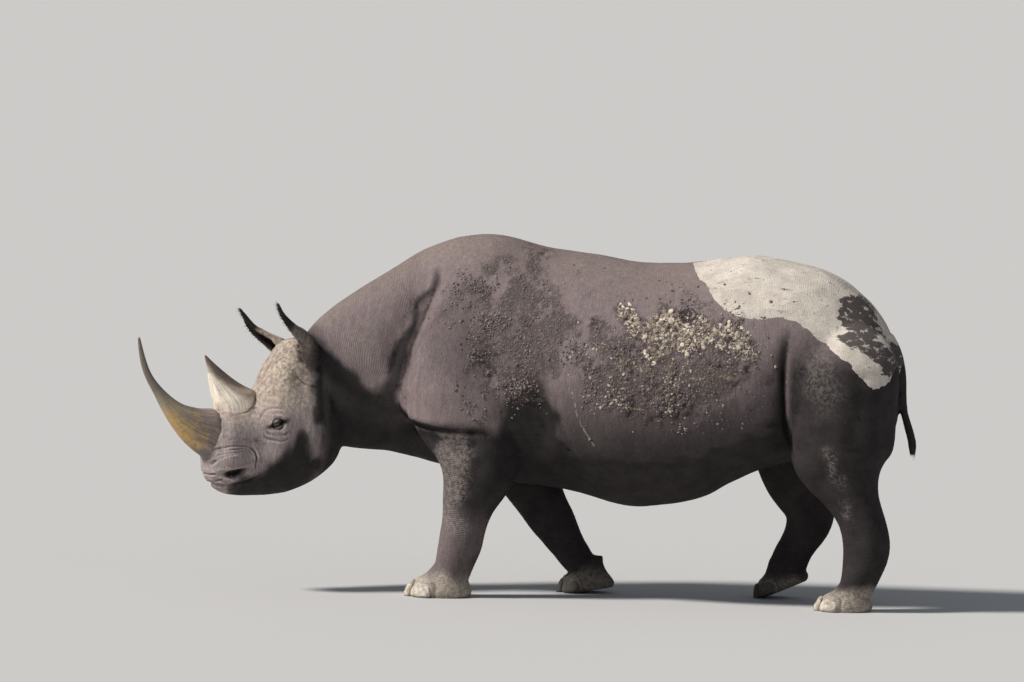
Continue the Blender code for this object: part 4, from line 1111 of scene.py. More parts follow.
def paint_fields(mesh):
    """Float attributes for the hide's finish, worked out from where each point lies."""
    clay = Clay(mesh)
    points, head = clay.points, clay.head
    x, y, z = points.T
    s, _, h = head.T
    fields = {}
    fields["rump"] = side_fields(points, RUMP_LEFT, RUMP_RIGHT, 0.012, 0.012)
    fields["blotch"] = side_fields(points, BLOTCH_LEFT, BLOTCH_RIGHT, 0.012, 0.016)
    fields["pale_mud"] = side_fields(points, PALE_LEFT, PALE_RIGHT, 0.08, 0.10)
    fields["dark_mud"] = side_fields(points, DARK_LEFT, DARK_RIGHT, 0.08, 0.10)
    fields["slab"] = one_sided(points, SLAB, 1, 0.03, 0.02)
    fields["holes"] = one_sided(points, HOLES, 1, 0.02, 0.012)
    scratch = from_path(points[:, [0, 2]], smooth_curve(SCRATCH, 30, [0, 1]))[0]
    fields["scratch"] = np.where(y < 0, np.minimum(scratch, 0.1), 0.1)
    # Scuffs, and a painted highlight on the left haunch.
    fields["scuff_and_highlight"] = 0.45 * one_sided(points, THIGH, 1, 0.04, 0.06)
    for side, outlines in SCUFFS_AND_HIGHLIGHTS.items():
        fields["scuff_and_highlight"] += sum(one_sided(points, outline, side, 0.03, 0.03) for outline in outlines)
    on_head = smoothstep(0.56, 0.46, s) * (x < -1.0)
    # The black round each eye's opening and inside each nostril: partly dark bare skin, partly painted
    # shade.
    rims = [almond_distance(head, side) for side in (1, -1)]
    holes = [nostril_reach(head, side) for side in (1, -1)]
    black = np.maximum(smoothstep(2.3, 1.2, np.minimum(*rims)), smoothstep(0.95, 0.50, np.minimum(*holes)))
    fields["lids"] = np.where(on_head > 0.5, black, 0.0)
    fields["dusty"] = smoothstep(0.125, 0.060, z + 0.02 * noise(points, 0.05, 93))
    # Less dust on the right feet, a part of their painted shade.
    fields["dusty"] *= np.where(y < 0.03, 1.0, 0.45)
    body = 1 - on_head
    # Cream on the forehead and bridge: partly the skin's own tone, partly painted light on the top of the
    # head.
    forehead = smoothstep(0.76, 0.88, h + 0.35 * (s - 0.30)) * smoothstep(0.50, 0.40, s)
    bridge = bell(s - 0.19, 0.085) * smoothstep(0.67, 0.77, h)
    ears = ear_shades(head)
    fields["cream"] = on_head * np.clip(forehead + 0.9 * bridge, 0, 1) * (1 - ears)
    fields["crest"] = body * smoothstep(0.45, 0.95, clay.normals[:, 2])
    fields["crest"] *= smoothstep(1.0, 1.2, z + 0.10 * (x < -0.9)) * (1 + 0.5 * smoothstep(-0.58, -0.70, x))
    # The dark field below is painted shade: low on the body, behind the elbow, on the hind quarters and
    # tail, on the jaw, on the neck under the head, on the legs, over the shoulder and withers, under the
    # body, behind and on the ears, and in the recesses.
    waver = 0.05 * noise(points, 0.30, 91)
    low = smoothstep(1.08, 0.60, z + waver) * smoothstep(-0.62, -0.40, x)
    elbow = side_fields(points, ELBOW, ELBOW, 0.02, 0.035) * smoothstep(1.03, 0.86, z)
    hind = smoothstep(1.26, 0.98, z + waver + 0.5 * np.maximum(0.80 - x, 0)) * smoothstep(0.70, 0.76, x)
    tail = smoothstep(1.17, 1.19, x + 0.10 * (z - 0.9)) * smoothstep(1.08, 1.02, z)
    ripple = 0.020 * noise(points * [1, 1, 0.4], 0.030, 92)
    jaw = smoothstep(-0.030, 0.022, inside(head[:, [0, 2]], JAW) + ripple) * on_head
    # Painted light: the face is paler below the forehead, away from the jaw's and ears' painted shade.
    fields["face"] = on_head * (1 - smoothstep(0.0, 0.6, jaw)) * (1 - ears) * smoothstep(0.98, 0.86, h)
    throat = side_fields(points, THROAT, THROAT, 0.016, 0.018) * (s > 0.46)
    leg = np.array(list(FORE_NEAR.values()))[::-1]
    behind = x - np.interp(z, leg[:, 2], leg[:, 0])
    rear_half = smoothstep(-0.09, 0.01, behind + 0.02 * noise(points, 0.05, 94))
    near_legs = smoothstep(0.78, 0.68, z) * body * (y < 0.03) * (0.50 + 0.50 * rear_half)
    near_legs *= smoothstep(-0.26, -0.42, x) + smoothstep(0.74, 0.80, x)
    near_legs *= 1 - 0.60 * smoothstep(0.45, 0.28, z) * (x < 0)
    far_legs = smoothstep(0.80, 0.60, z) * smoothstep(0.02, 0.10, y)
    behind_ear = on_head * smoothstep(0.40, 0.46, s) * smoothstep(0.90, 1.0, h)
    parts = [0.84 * low, elbow, hind, tail, jaw, 0.97 * throat, far_legs, near_legs]
    shoulder = 0.38 * bell(x + 0.72, 0.20) * bell(z - 1.10, 0.20)
    withers = 0.20 * bell(x + 0.50, 0.12) * bell(z - 1.50, 0.09)
    under = body * smoothstep(-0.15, -0.55, clay.normals[:, 2]) * smoothstep(0.98, 0.84, z)
    pits = recesses(points)
    parts += [shoulder, withers, under, 0.95 * behind_ear, ears, *pits]
    # dark: how strongly the hide is painted in shade.
    fields["dark"] = np.clip(np.maximum.reduce(parts), 0, 1)
    # pit: painted shade that darkens the elbow and the recesses further.
    fields["pit"] = np.maximum.reduce([0.6 * elbow, *pits])
    # hollow and deep measure the folds that the finish paints in shade.
    for name, turns, full in (("hollow", 3, 0.0011), ("deep", 24, 0.006)):
        fields[name] = np.clip(hollowness(mesh, points, clay.normals, turns) / full, -1, 1)
    fields["line_phase"], fields["line_strength"] = wrinkle_lines(clay)
    for name, values in fields.items():
        set_field(mesh, name, values)


def wrinkle_lines(clay):
    """A phase that grows by 1 for each fine wrinkle, and how deep the wrinkles are there, from 0 to 1.

    On the neck and cheeks they stand upright, on the legs they ring the limb, on the body they slant."""
    x, _, z = clay.points.T
    s, _, h = clay.head.T
    drift = 0.02 * noise(clay.points, 0.16, 61) + 0.006 * noise(clay.points, 0.06, 62)
    on_head = (s < 0.50) & (x < -1.0)
    neck = (x + 0.30 * (z - 1.0) + drift) / 0.0075
    legs = (z + 0.15 * x + drift) / 0.0085
    body = (x + 0.45 * z + 2.0 * drift) / 0.0100
    face = (s + 0.20 * h + 0.6 * drift) / 0.0065
    low = smoothstep(0.70, 0.55, z) * (x > -1.1)
    phase = np.where(on_head, face, np.where(x < -0.86, neck, np.where(low > 0.5, legs, body)))
    strength = np.where(on_head, 0.35, np.where(x < -0.86, 1.0, np.where(low > 0.5, 0.8, 0.30)))
    strength = strength * smoothstep(0.0, 0.10, np.abs(x + 0.86))
    strength = strength * smoothstep(0.0, 0.25, np.abs(low - 0.5) * 2)
    cheek = smoothstep(0.36, 0.42, s) * smoothstep(0.50, 0.44, s) * smoothstep(0.90, 0.80, h)
    strength = np.where(on_head, 0.3 * cheek, strength)
    return phase, strength


# ---------------------------------------------------------------- meshes
def put(name, points, faces, finish):
    """A new piece from points in the modeller's frame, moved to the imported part's, with its finish."""
    mesh = bpy.data.meshes.new(name)
    mesh.from_pydata((np.asarray(points) - BOX_MIDDLE).tolist(), [], faces)
    mesh.update()
    outward(mesh)
    return piece_of(name, mesh, finish)


def piece_of(name, mesh, finish):
    """Links a mesh as a piece that rides on the animal's one body."""
    piece = bpy.data.objects.new(name, mesh)
    bpy.context.collection.objects.link(piece)
    mesh.materials.clear()
    mesh.materials.append(finish)
    mesh.polygons.foreach_set("use_smooth", np.ones(len(mesh.polygons), bool))
    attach(piece, "root")
    return piece


def outward(mesh):
    """Turns every face outward."""
    work = bmesh.new()
    work.from_mesh(mesh)
    bmesh.ops.recalc_face_normals(work, faces=work.faces)
    work.to_mesh(mesh)
    work.free()


def set_field(mesh, name, values):
    """A float attribute, one value a vertex."""
    layer = mesh.attributes.new(name, "FLOAT", "POINT")
    layer.data.foreach_set("value", np.asarray(values, np.float32).ravel())


def many(shape, faces):
    """Faces for many copies of one small shape, its points given as an array (copies, points, 3)."""
    copies, count = shape.shape[:2]
    faces = np.array(faces)
    every = faces[None] + (np.arange(copies) * count)[:, None, None]
    return shape.reshape(-1, 3), every.reshape(-1, faces.shape[1]).tolist()


def ball_angles(rings, around):
    """The rises and turns of a ball's rings of points, without its poles."""
    return np.linspace(-math.pi / 2, math.pi / 2, rings + 2)[1:-1, None], full_turn(around)[None, :]


def ball_grid(rings, around):
    """Points and faces of a ball of radius 1: (cos a cos b, cos a sin b, sin a) and its two poles."""
    rise, turn = ball_angles(rings, around)
    grid = np.cos(rise) * np.cos(turn), np.cos(rise) * np.sin(turn), np.sin(rise)
    return loft(np.stack(np.broadcast_arrays(*grid), axis=-1))


def frames_on(normals, rng):
    """Two directions across each normal, turned at random."""
    first = unit(np.cross(normals, rng.normal(size=normals.shape)))
    return first, np.cross(normals, first)


# ---------------------------------------------------------------- the pieces
def build_skin(finish):
    """The whole hide as one skin, shaped in clay and then thinned out to SKIN_TRIANGLES."""
    skin = flesh_form()
    clay = Clay(skin.data)
    shape_body(clay)
    shape_neck(clay)
    shape_head(clay)
    clay = refine_places(skin)
    shape_collars(clay)
    shape_face(clay)
    shape_lids(clay)
    shape_limbs(clay)
    shape_hide(clay)
    flat = smoothstep(0.012, 0.0, clay.points[:, 2])
    clay.points[:, 2] = np.maximum(clay.points[:, 2] * (1 - flat), 0.0)
    clay.settle()
    thin = skin.modifiers.new("thin", "DECIMATE")
    skin.data.calc_loop_triangles()
    thin.ratio = min(1.0, SKIN_TRIANGLES / len(skin.data.loop_triangles))
    thin.use_collapse_triangulate = True
    apply_modifiers(skin)
    paint_fields(skin.data)
    mesh = skin.data
    bpy.data.objects.remove(skin)
    write_points(mesh, read_mesh(mesh)[0] - BOX_MIDDLE)
    mesh.name = "skin"
    piece = piece_of("skin", mesh, finish)
    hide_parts(*FLESH_NODES)
    return piece


def refine_places(skin):
    """Finer faces round the eyes, the nostrils and the mouth."""
    for side in (1, -1):
        for s, t, h, radius in (
            (EYE[0], -0.14, EYE[2], 0.075), (EYE[0], -0.14, EYE[2], 0.042), (0.10, -0.09, 0.54, 0.125),
        ):
            refine(skin.data, from_head(np.array([s, t * side, h])), radius)
    return Clay(skin.data)


def build_horn(name, finish, seed):
    """A horn: its lofted form, with fibres lengthwise, rings of growth and a frayed skirt at its base.

    Its radius is multiplied by 1 + fibres (noise stretched along it) + rings (sine of the way along)."""
    count, around = 150, 120
    rings = horn_rings(name, count, around)
    middle = rings.mean(1, keepdims=True)
    along = np.repeat(np.linspace(0, 1, count)[:, None], around, 1)
    turn = np.repeat(full_turn(around)[None, :], count, 0)
    spot = np.stack([np.cos(turn), np.sin(turn), 0.35 * along], axis=-1)
    fibres = 0.026 * rough(spot, 0.28, 3, seed) + 0.014 * noise(spot * [1, 1, 2], 0.09, seed + 1)
    growth = 0.0022 * np.sin(2 * math.pi * 9 * along + 3.0 * noise(spot, 0.9, seed + 2))
    low = smoothstep(0.42, 0.10, along)
    skirt = low * 0.050 * np.maximum(rough(spot * [1, 1, 6], 0.35, 3, seed + 3), 0)
    dents = -0.035 * smoothstep(0.25, 0.6, noise(spot * [1, 1, 3], 0.55, seed + 5))
    dents *= smoothstep(0.7, 0.3, along)
    relief = fibres + growth * smoothstep(0.05, 0.3, along) + skirt + dents
    swell = 1 + relief * smoothstep(1.0, 0.9, along)
    rings = middle + (rings - middle) * swell[..., None]
    horn = put(name + "_shell", *loft(rings), finish)
    away = to_head(rings) - to_head(middle.reshape(-1, 3)).reshape(count, 1, 3)
    front = -away[..., 0] / np.maximum(np.linalg.norm(away, axis=-1), 1e-6)
    raised = (swell - 1) * 20
    for field, values, tip in (
        ("along", along, 1.0), ("front", front, 0.0), ("around", turn, 0.0), ("raised", raised, 0.0),
    ):
        set_field(horn.data, field, np.concatenate([values.ravel(), (0.0, tip)]))
    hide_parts(name)


def nail_frames(foot):
    """Each nail of a foot: its number and size, and its middle and three directions in the world."""
    height, middle, length, width = smooth_curve(FOOT.values(), 60, [0, 1]).T
    reach = [np.interp(NAIL_HEIGHT, height, row) for row in (middle, length, width)]
    turn = FEET[foot][4] * turned("y", -FEET[foot][3])
    swell = NAIL_REACH * (1 + TOE_SWELL * 0.4) - 0.060
    tilt_up, tilt_out = math.cos(math.radians(NAIL_LEAN)), math.sin(math.radians(NAIL_LEAN))
    up = np.array([0, 0, 1])
    for number, toe in enumerate(TOE_ANGLES):
        a = math.radians(toe)
        out = unit(np.array([-math.cos(a) / reach[1], math.sin(a) / reach[2], 0.0]))
        ahead, aside = reach[1] * math.cos(a), reach[2] * math.sin(a)
        place = from_foot(np.array([reach[0] - ahead * swell, aside * swell, NAIL_HEIGHT]), foot)
        ways = tilt_up * out + tilt_out * up, np.cross(up, out), tilt_up * up - tilt_out * out
        yield number + 1, NAIL_CENTRE if toe == 0 else 1.0, place, [turn @ way for way in ways]


def build_nails(finish):
    """Each nail: a domed plate, arched above, straight and worn below, with growth lines.

    Over a (rise a, turn b) ball grid: depth by cos a cos b, width by cos a sin b with squared corners,
    height by sin a, its lower half flattened."""
    rise, turn = ball_angles(26, 48)
    up = np.sin(rise) + 0 * turn
    up = np.where(up < 0, -(np.abs(up) ** 0.62), up)
    depth = rounded(np.cos(rise), 0.75) * rounded(np.cos(turn), 0.8)
    wide = rounded(np.cos(rise), 0.75) * rounded(np.sin(turn), 0.8) * (1 - 0.10 * up)
    for foot in FEET:
        for number, large, place, (out, across, upward) in nail_frames(foot):
            radii = np.array(NAIL_RADII) * large
            spot = np.stack([depth, wide, up], axis=-1) + 3 * number + 7 * len(foot)
            chips = 0.05 * rough(spot, 0.5, 3, 71) + 0.03 * np.sin(26 * up) * (depth > 0)
            bulge = 1.12 + chips
            ring = (
                place
                + (radii[0] * depth * bulge * (1 + 0.35 * smoothstep(0.6, -0.8, up)))[..., None] * out
                + (1.12 * radii[1] * wide * (1 + 0.3 * chips))[..., None] * across
                + (0.96 * radii[2] * up)[..., None] * upward
            )
            ring[..., 2] = np.maximum(ring[..., 2], 0.0)
            points, faces = loft(ring)
            name = "nail_%s_%d" % (foot, number)
            nail = put("plate_" + name, points, faces, finish)
            set_field(nail.data, "rise", np.concatenate([up.ravel(), (-1.0, 1.0)]))
            # The right feet's nails are painted in shade.
            set_field(nail.data, "in_shade", np.full(len(points), 1.0 if foot.endswith("right") else 0.0))
            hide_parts(name)


def build_eyes(finish):
    """Each eyeball: a ball with the cornea raised on it, coloured by the distance from the pupil."""
    ball, faces = ball_grid(48, 64)
    away = np.degrees(np.arccos(np.clip(ball @ unit(np.array(GAZE)), -1, 1)))
    bulge = 1 + 0.06 * smoothstep(34, 10, away)
    for side, name in ((1, "eye_left"), (-1, "eye_right")):
        flip = np.array([1, side, 1])
        points = from_head((np.array(EYE) + EYE_RADIUS * ball * bulge[:, None]) * flip)
        eye = put("ball_" + name, points, faces, finish)
        set_field(eye.data, "away", away / 90)
        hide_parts(name)


def along_path(path, share):
    """Places at shares of a path's rows, from 0 to 1, with the path's direction and last row at each."""
    row = share * (len(path) - 1)
    k = np.minimum(row.astype(int), len(path) - 2)
    part = (row - k)[:, None]
    return path[k] * (1 - part) + path[k + 1] * part, unit((path[k + 1] - path[k])[:, :3]), k


def strands(name, roots, ways, lengths, radius, droop, patches, finish, rings=7):
    """Hairs as tapered tubes: along each hair the place is root + way q L + droop q^2 L, q from 0 to 1.

    The radius is r (1.02 - q)^0.7. Each hair's UV is a patch 3/1000 across at its own place."""
    count, sides = len(roots), 4
    q = np.linspace(0, 1, rings)[None, :, None]
    path = roots[:, None] + lengths[:, None, None] * (ways[:, None] * q + droop[:, None] * q**2)
    never_along = droop + [1e-4, 2e-4, 3e-4]  # not 0 where a hair has no droop
    across = unit(np.cross(ways, never_along))
    other = unit(np.cross(ways, across))
    angle = full_turn(sides)[None, None, :, None]
    thick = (radius * (1.02 - q) ** 0.7)[:, :, None]
    tubes = path[:, :, None] + thick * (
        np.cos(angle) * across[:, None, None] + np.sin(angle) * other[:, None, None]
    )
    index = np.arange(rings * sides).reshape(rings, sides)
    after = np.roll(index, -1, axis=1)
    quads = np.stack([index[:-1], index[1:], after[1:], after[:-1]], -1).reshape(-1, 4).tolist()
    quads += [index[0].tolist(), index[-1, ::-1].tolist()]
    points, faces = many(tubes.reshape(count, -1, 3), quads)
    hair = put(name, points, faces, finish)
    span = np.stack(np.meshgrid(np.linspace(0, 1, rings), np.linspace(0, 1, sides), indexing="ij"), -1)
    spots = patches[:, None] + 0.003 * (span.reshape(-1, 2) - 0.5)[None]
    corners = np.empty(len(hair.data.loops), np.int32)
    hair.data.loops.foreach_get("vertex_index", corners)
    layer = hair.data.uv_layers.new(name="OFBake")
    layer.data.foreach_set("uv", np.clip(spots.reshape(-1, 2)[corners], 0, 1).astype(np.float32).ravel())
    set_field(hair.data, "tip", np.tile(np.repeat(np.linspace(0, 1, rings), sides), count))


def build_ear_hair(finish, rng):
    """A fringe of soft dark hair along both rims of each ear, longest at the tip."""
    for side, name in ((1, "left"), (-1, "right")):
        around = 20
        rings = ear_rings(side, 60, around)
        rims = [(rings[:, 0] + rings[:, -1]) / 2, (rings[:, around - 1] + rings[:, around]) / 2]
        axis = rings.mean(1)
        roots, ways, spots = [], [], []
        for number, rim in enumerate(rims):
            t = rng.uniform(0.22, 1.0, 170) ** 0.8
            root, up, row = along_path(rim, t)
            out = unit(root - axis[row])
            way = 0.55 * up + 0.75 * out + 0.35 * rng.normal(size=root.shape)
            roots.append(root - 0.003 * out)
            ways.append(unit(way))
            beside = 0.25 + 0.5 * number + 0.1 * rng.uniform(-1, 1, len(t))
            spots.append(np.stack([0.04 + 0.9 * t, beside], axis=1))
        roots, ways, spots = np.concatenate(roots), np.concatenate(ways), np.concatenate(spots)
        lengths = rng.uniform(0.006, 0.016, len(roots)) * (0.7 + 0.6 * spots[:, 0])
        droop = 0.35 * rng.normal(size=roots.shape)
        strands("ear_fringe_" + name, roots, ways, lengths, 0.0007, droop, spots, finish)


def build_tail_hair(finish, rng):
    """Stiff dark bristles on both edges of the tail's last fifth."""
    table = smooth_curve(TAIL.values(), 80, [0, 2])
    t = rng.uniform(0.66, 0.985, 260)
    place, down, _ = along_path(table, t)
    turn = rng.uniform(0, 2 * math.pi, len(t))
    out = np.stack([np.cos(turn), np.sin(turn), 0 * turn], axis=1)
    roots = place[:, :3] + 0.8 * place[:, 3:] * out
    ways = unit(0.95 * down + 0.14 * out + 0.05 * rng.normal(size=out.shape))
    lengths = rng.uniform(0.014, 0.032, len(t)) * (0.7 + 0.5 * t)
    lengths = np.minimum(lengths, 0.92 * (roots[:, 2] - 0.56))
    spots = np.stack([0.03 + 0.94 * t, 0.05 + 0.9 * turn / (2 * math.pi)], axis=1)
    strands("tail_tuft", roots, ways, lengths, 0.0010, -0.16 * out, spots, finish)


def build_lashes(finish, rng):
    """Short stiff lashes along the upper lid, and fewer along the lower one."""
    for side, name in ((1, "left"), (-1, "right")):
        u = np.concatenate([rng.uniform(-0.90, 0.95, 46), rng.uniform(-0.7, 0.8, 20)])
        upper = np.arange(len(u)) < 46
        u = u * LID_LENGTH
        height = np.where(upper, LID_HEIGHTS[0], -LID_HEIGHTS[1]) * (1 - (u / LID_LENGTH) ** 2) * 1.15
        v = height + LID_SLANT * u
        w = np.sqrt(np.maximum((EYE_RADIUS + 0.0052) ** 2 - u**2 - v**2, 0))
        flip = np.array([1, side, 1])
        local = np.stack([EYE[0] + u, EYE[1] - w + 0.0015, EYE[2] + v], axis=1)
        way = np.stack([0.35 * u / LID_LENGTH, -1.0 + 0 * u, np.where(upper, 0.15, -0.35)], axis=1)
        way = unit(way + 0.18 * rng.normal(size=way.shape))
        roots = from_head(local * flip)
        ways = from_head((local + way) * flip) - roots
        droop = np.tile([0.0, 0.0, -0.35], (len(u), 1))
        lengths = np.where(upper, 0.011, 0.007) * rng.uniform(0.7, 1.15, len(u))
        spots = np.stack([0.5 + 0.45 * u / LID_LENGTH, np.where(upper, 0.7, 0.3)], axis=1)
        spots[:, 1] += 0.05 * rng.uniform(-1, 1, len(u))
        strands("lashes_" + name, roots, ways, lengths, 0.00045, droop, spots, finish, 5)


def pale_crumbs(points):
    """How thickly pale crumbs lie: in clusters over their part of each side, with a few beyond it."""
    clusters = smoothstep(-0.1, 0.7, rough(points, 0.11, 3, 95)) ** 2
    return side_fields(points, PALE_LEFT, PALE_RIGHT, 0.06, 0.09) * (0.06 + clusters)


def dark_crumbs(points):
    """How thickly dark crumbs lie: in clusters behind the shoulder, spreading thinly over the sides."""
    clusters = smoothstep(-0.2, 0.6, rough(points, 0.10, 3, 96)) ** 2
    side = smoothstep(0.78, 0.95, points[:, 2]) * (points[:, 0] > -0.86) * (points[:, 0] < 0.70)
    own = side_fields(points, DARK_LEFT, DARK_RIGHT, 0.08, 0.10)
    other = side_fields(points, PALE_LEFT, PALE_RIGHT, 0.08, 0.10)
    return (own + 0.35 * other + 0.02 * side) * (0.03 + clusters) * smoothstep(1.46, 1.38, points[:, 2])


def slab_crumbs(points):
    """The thick lumps of the left side's slab, in clusters with bare gaps."""
    clusters = 0.10 + smoothstep(-0.25, 0.35, rough(points, 0.05, 2, 97))
    return one_sided(points, SLAB, 1, 0.03, 0.03) * clusters


def build_clods(name, skin, density, count, sizes, height, finish, rng):
    """Crumbs of dried mud stuck to the hide: lumpy flattened balls, half sunk in it.

    Each is a unit ball of 4 x 7 points times 1 + noise, scaled by its own size across and `height` of that
    outward, at a random place chosen in proportion to area times density."""
    mesh = skin.data
    mesh.calc_loop_triangles()
    corner = np.empty(len(mesh.loop_triangles) * 3, np.int32)
    mesh.loop_triangles.foreach_get("vertices", corner)
    corner = corner.reshape(-1, 3)
    where, normal = read_mesh(mesh)
    where = where + BOX_MIDDLE
    a, b, c = (where[corner[:, i]] for i in range(3))
    area = np.linalg.norm(np.cross(b - a, c - a), axis=1)
    chance = area * density(where)[corner].mean(1)
    pick = rng.choice(len(corner), count, p=chance / chance.sum())
    share = rng.dirichlet((1, 1, 1), count)
    place = (where[corner[pick]] * share[:, :, None]).sum(1)
    up = unit((normal[corner[pick]] * share[:, :, None]).sum(1))
    first, second = frames_on(up, rng)
    ball, faces = ball_grid(4, 7)
    size = sizes[0] * (sizes[1] / sizes[0]) ** (rng.uniform(0, 1, count) ** 2.2)
    stretch = rng.uniform(0.75, 1.35, (count, 1))
    spots = ball[None] * 0.9 + rng.uniform(0, 60, (count, 1, 3))
    lumpy = ball[None] * (1 + 0.50 * noise(spots, 0.8, 81) + 0.34 * noise(spots, 0.33, 82))[..., None]
    body = size[:, None, None] * (
        lumpy[..., :1] * (first * stretch)[:, None]
        + lumpy[..., 1:2] * (second / stretch)[:, None]
        + lumpy[..., 2:] * (height * up)[:, None]
    )
    points = place[:, None] + (0.15 * size)[:, None, None] * up[:, None] + body
    quads = [face for face in faces if len(face) == 4]
    caps = [face for face in faces if len(face) == 3]
    joined, first_faces = many(points, quads)
    _, last_faces = many(points, caps)
    clods = put(name, joined, first_faces + last_faces, finish)
    set_field(clods.data, "shade", np.repeat(rng.uniform(0, 1, count), len(ball)))


# ---------------------------------------------------------------- finishes
class Value:
    """A socket of a finish's node tree: each sum, product or power of it adds a Math node."""

    def __init__(self, finish, socket):
        self.finish, self.socket = finish, socket

    def math(self, operation, *others):
        return self.finish.node("ShaderNodeMath", {"operation": operation}, dict(enumerate((self, *others))))

    def __add__(self, other):
        return self.math("ADD", other)

    def __mul__(self, other):
        return self.math("MULTIPLY", other)

    def __sub__(self, other):
        return self.math("SUBTRACT", other)

    def __rsub__(self, other):
        return self.finish.node("ShaderNodeMath", {"operation": "SUBTRACT"}, {0: other, 1: self})

    def __pow__(self, other):
        return self.math("POWER", other)

    __radd__ = __add__
    __rmul__ = __mul__

    def ramp(self, low, high):
        """0 below low and 1 above high, smooth between them; with low above high, the other way round."""
        if low > high:
            return 1 - self.ramp(high, low)
        settings = {"interpolation_type": "SMOOTHSTEP"}
        inputs = {"Value": self, "From Min": low, "From Max": high}
        return self.finish.node("ShaderNodeMapRange", settings, inputs)

    def most(self, other):
        return self.math("MAXIMUM", other)

    def least(self, other):
        return self.math("MINIMUM", other)


class Finish:
    """A material being made: one Principled shader, and nodes that reach its sockets."""

    def __init__(self, name):
        self.material = bpy.data.materials.new(name)
        self.material.use_nodes = True
        self.tree = self.material.node_tree
        self.tree.nodes.clear()
        self.spot = self.node("ShaderNodeTexCoord", output="Object")

    def node(self, kind, settings=None, inputs=None, output=0):
        """A node of a type, with its settings made first and then its sockets' values or links."""
        node = self.tree.nodes.new(kind)
        for key, value in (settings or {}).items():
            setattr(node, key, value)
        for key, value in (inputs or {}).items():
            if isinstance(value, Value):
                self.tree.links.new(value.socket, node.inputs[key])
            else:
                node.inputs[key].default_value = value
        return Value(self, node.outputs[output]) if len(node.outputs) else None

    def field(self, name):
        """A float attribute of the piece."""
        return self.node("ShaderNodeAttribute", {"attribute_name": name}, output="Fac")

    def noise(self, size, detail=3.0, roughness=0.55, stretch=(1, 1, 1)):
        """Noise from 0 to 1 with features about `size` metres across, stretched along the axes."""
        spot = self.spot
        if stretch != (1, 1, 1):
            scale = tuple(1 / part for part in stretch)
            spot = self.node("ShaderNodeMapping", None, {"Vector": spot, "Scale": scale})
        inputs = {"Vector": spot, "Scale": 1 / size, "Detail": detail, "Roughness": roughness}
        return self.node("ShaderNodeTexNoise", None, inputs)

    def cells(self, size, feature="DISTANCE_TO_EDGE"):
        """Cells about `size` metres across: the distance to their edges, or with "F1" to their middles."""
        wobble = self.node("ShaderNodeTexNoise", None, {"Vector": self.spot, "Scale": 0.8 / size}, "Color")
        shift = self.node("ShaderNodeVectorMath", {"operation": "SCALE"}, {0: wobble, "Scale": 0.9 * size})
        place = self.node("ShaderNodeVectorMath", {"operation": "ADD"}, {0: self.spot, 1: shift})
        inputs = {"Vector": place, "Scale": 1 / size}
        return self.node("ShaderNodeTexVoronoi", {"feature": feature}, inputs, "Distance")

    def blend(self, share, first, second):
        """A colour that goes from the first to the second as the share goes from 0 to 1."""
        first, second = (part if isinstance(part, Value) else (*part, 1.0) for part in (first, second))
        settings = {"data_type": "RGBA", "clamp_factor": True}
        return self.node("ShaderNodeMix", settings, {0: share, 6: first, 7: second}, 2)

    def darken(self, colour, share):
        """A colour multiplied by a number."""
        grey = self.node("ShaderNodeCombineColor", None, {0: share, 1: share, 2: share})
        settings = {"data_type": "RGBA", "blend_type": "MULTIPLY"}
        return self.node("ShaderNodeMix", settings, {0: 1.0, 6: colour, 7: grey}, 2)

    def bump(self, height, distance, under=None, strength=1.0):
        """The normal that a height from 0 to 1 gives, `distance` metres high, on top of another."""
        inputs = {"Height": height, "Distance": distance, "Strength": strength}
        if under is not None:
            inputs["Normal"] = under
        return self.node("ShaderNodeBump", None, inputs)

    def done(self, constants, **linked):
        """Joins the shader to the output: constants are set on its own sockets, the rest is linked."""
        inputs = dict(constants)
        inputs.update({name.replace("_", " "): value for name, value in linked.items()})
        shader = self.node("ShaderNodeBsdfPrincipled", None, inputs)
        self.node("ShaderNodeOutputMaterial", None, {"Surface": shader})
        return self.material


# Colours, as linear red, green and blue. In a pair the second is the paler one.
DRY_HIDE = ((0.188, 0.148, 0.147), (0.240, 0.190, 0.189))
# Painted shade: the hide's colour where the dark field lies, standing in for shade.
SHADED_HIDE = ((0.0270, 0.0230, 0.0235), (0.0450, 0.0385, 0.0385))
TAN_DUST = ((0.190, 0.150, 0.135), (0.235, 0.188, 0.168))
# Scuffs, and the painted highlight on the left haunch.
SCUFF_AND_HIGHLIGHT = (0.235, 0.205, 0.185)
FOOT_DUST = (0.400, 0.345, 0.285)
# Cream of the forehead and bridge, partly painted light.
CREAM = ((0.250, 0.190, 0.150), (0.500, 0.425, 0.345))
# Painted light: the lit part of the face.
LIT_FACE = ((0.285, 0.236, 0.226), (0.415, 0.352, 0.338))
# Painted shade between the rubble's nubs and a painted highlight on their tops.
RUBBLE = ((0.062, 0.050, 0.047), (0.250, 0.207, 0.195))
# The first is painted shade between the crumbs.
PALE_CRUMBS = ((0.160, 0.128, 0.106), (0.500, 0.415, 0.345))
# The first shows in the slab's cracks, partly as painted shade.
SLAB_MUD = ((0.150, 0.116, 0.096), (0.690, 0.590, 0.480))
SLAB_HOLES = (0.040, 0.030, 0.030)
RUMP = ((0.460, 0.412, 0.358), (0.625, 0.568, 0.496))
RUMP_STREAKS = (0.330, 0.290, 0.260)
RUMP_SPECKS = (0.110, 0.088, 0.075)
STAIN_EDGE = (0.150, 0.135, 0.135)
STAIN = (0.070, 0.058, 0.056)
SCRATCHED = (0.300, 0.255, 0.215)
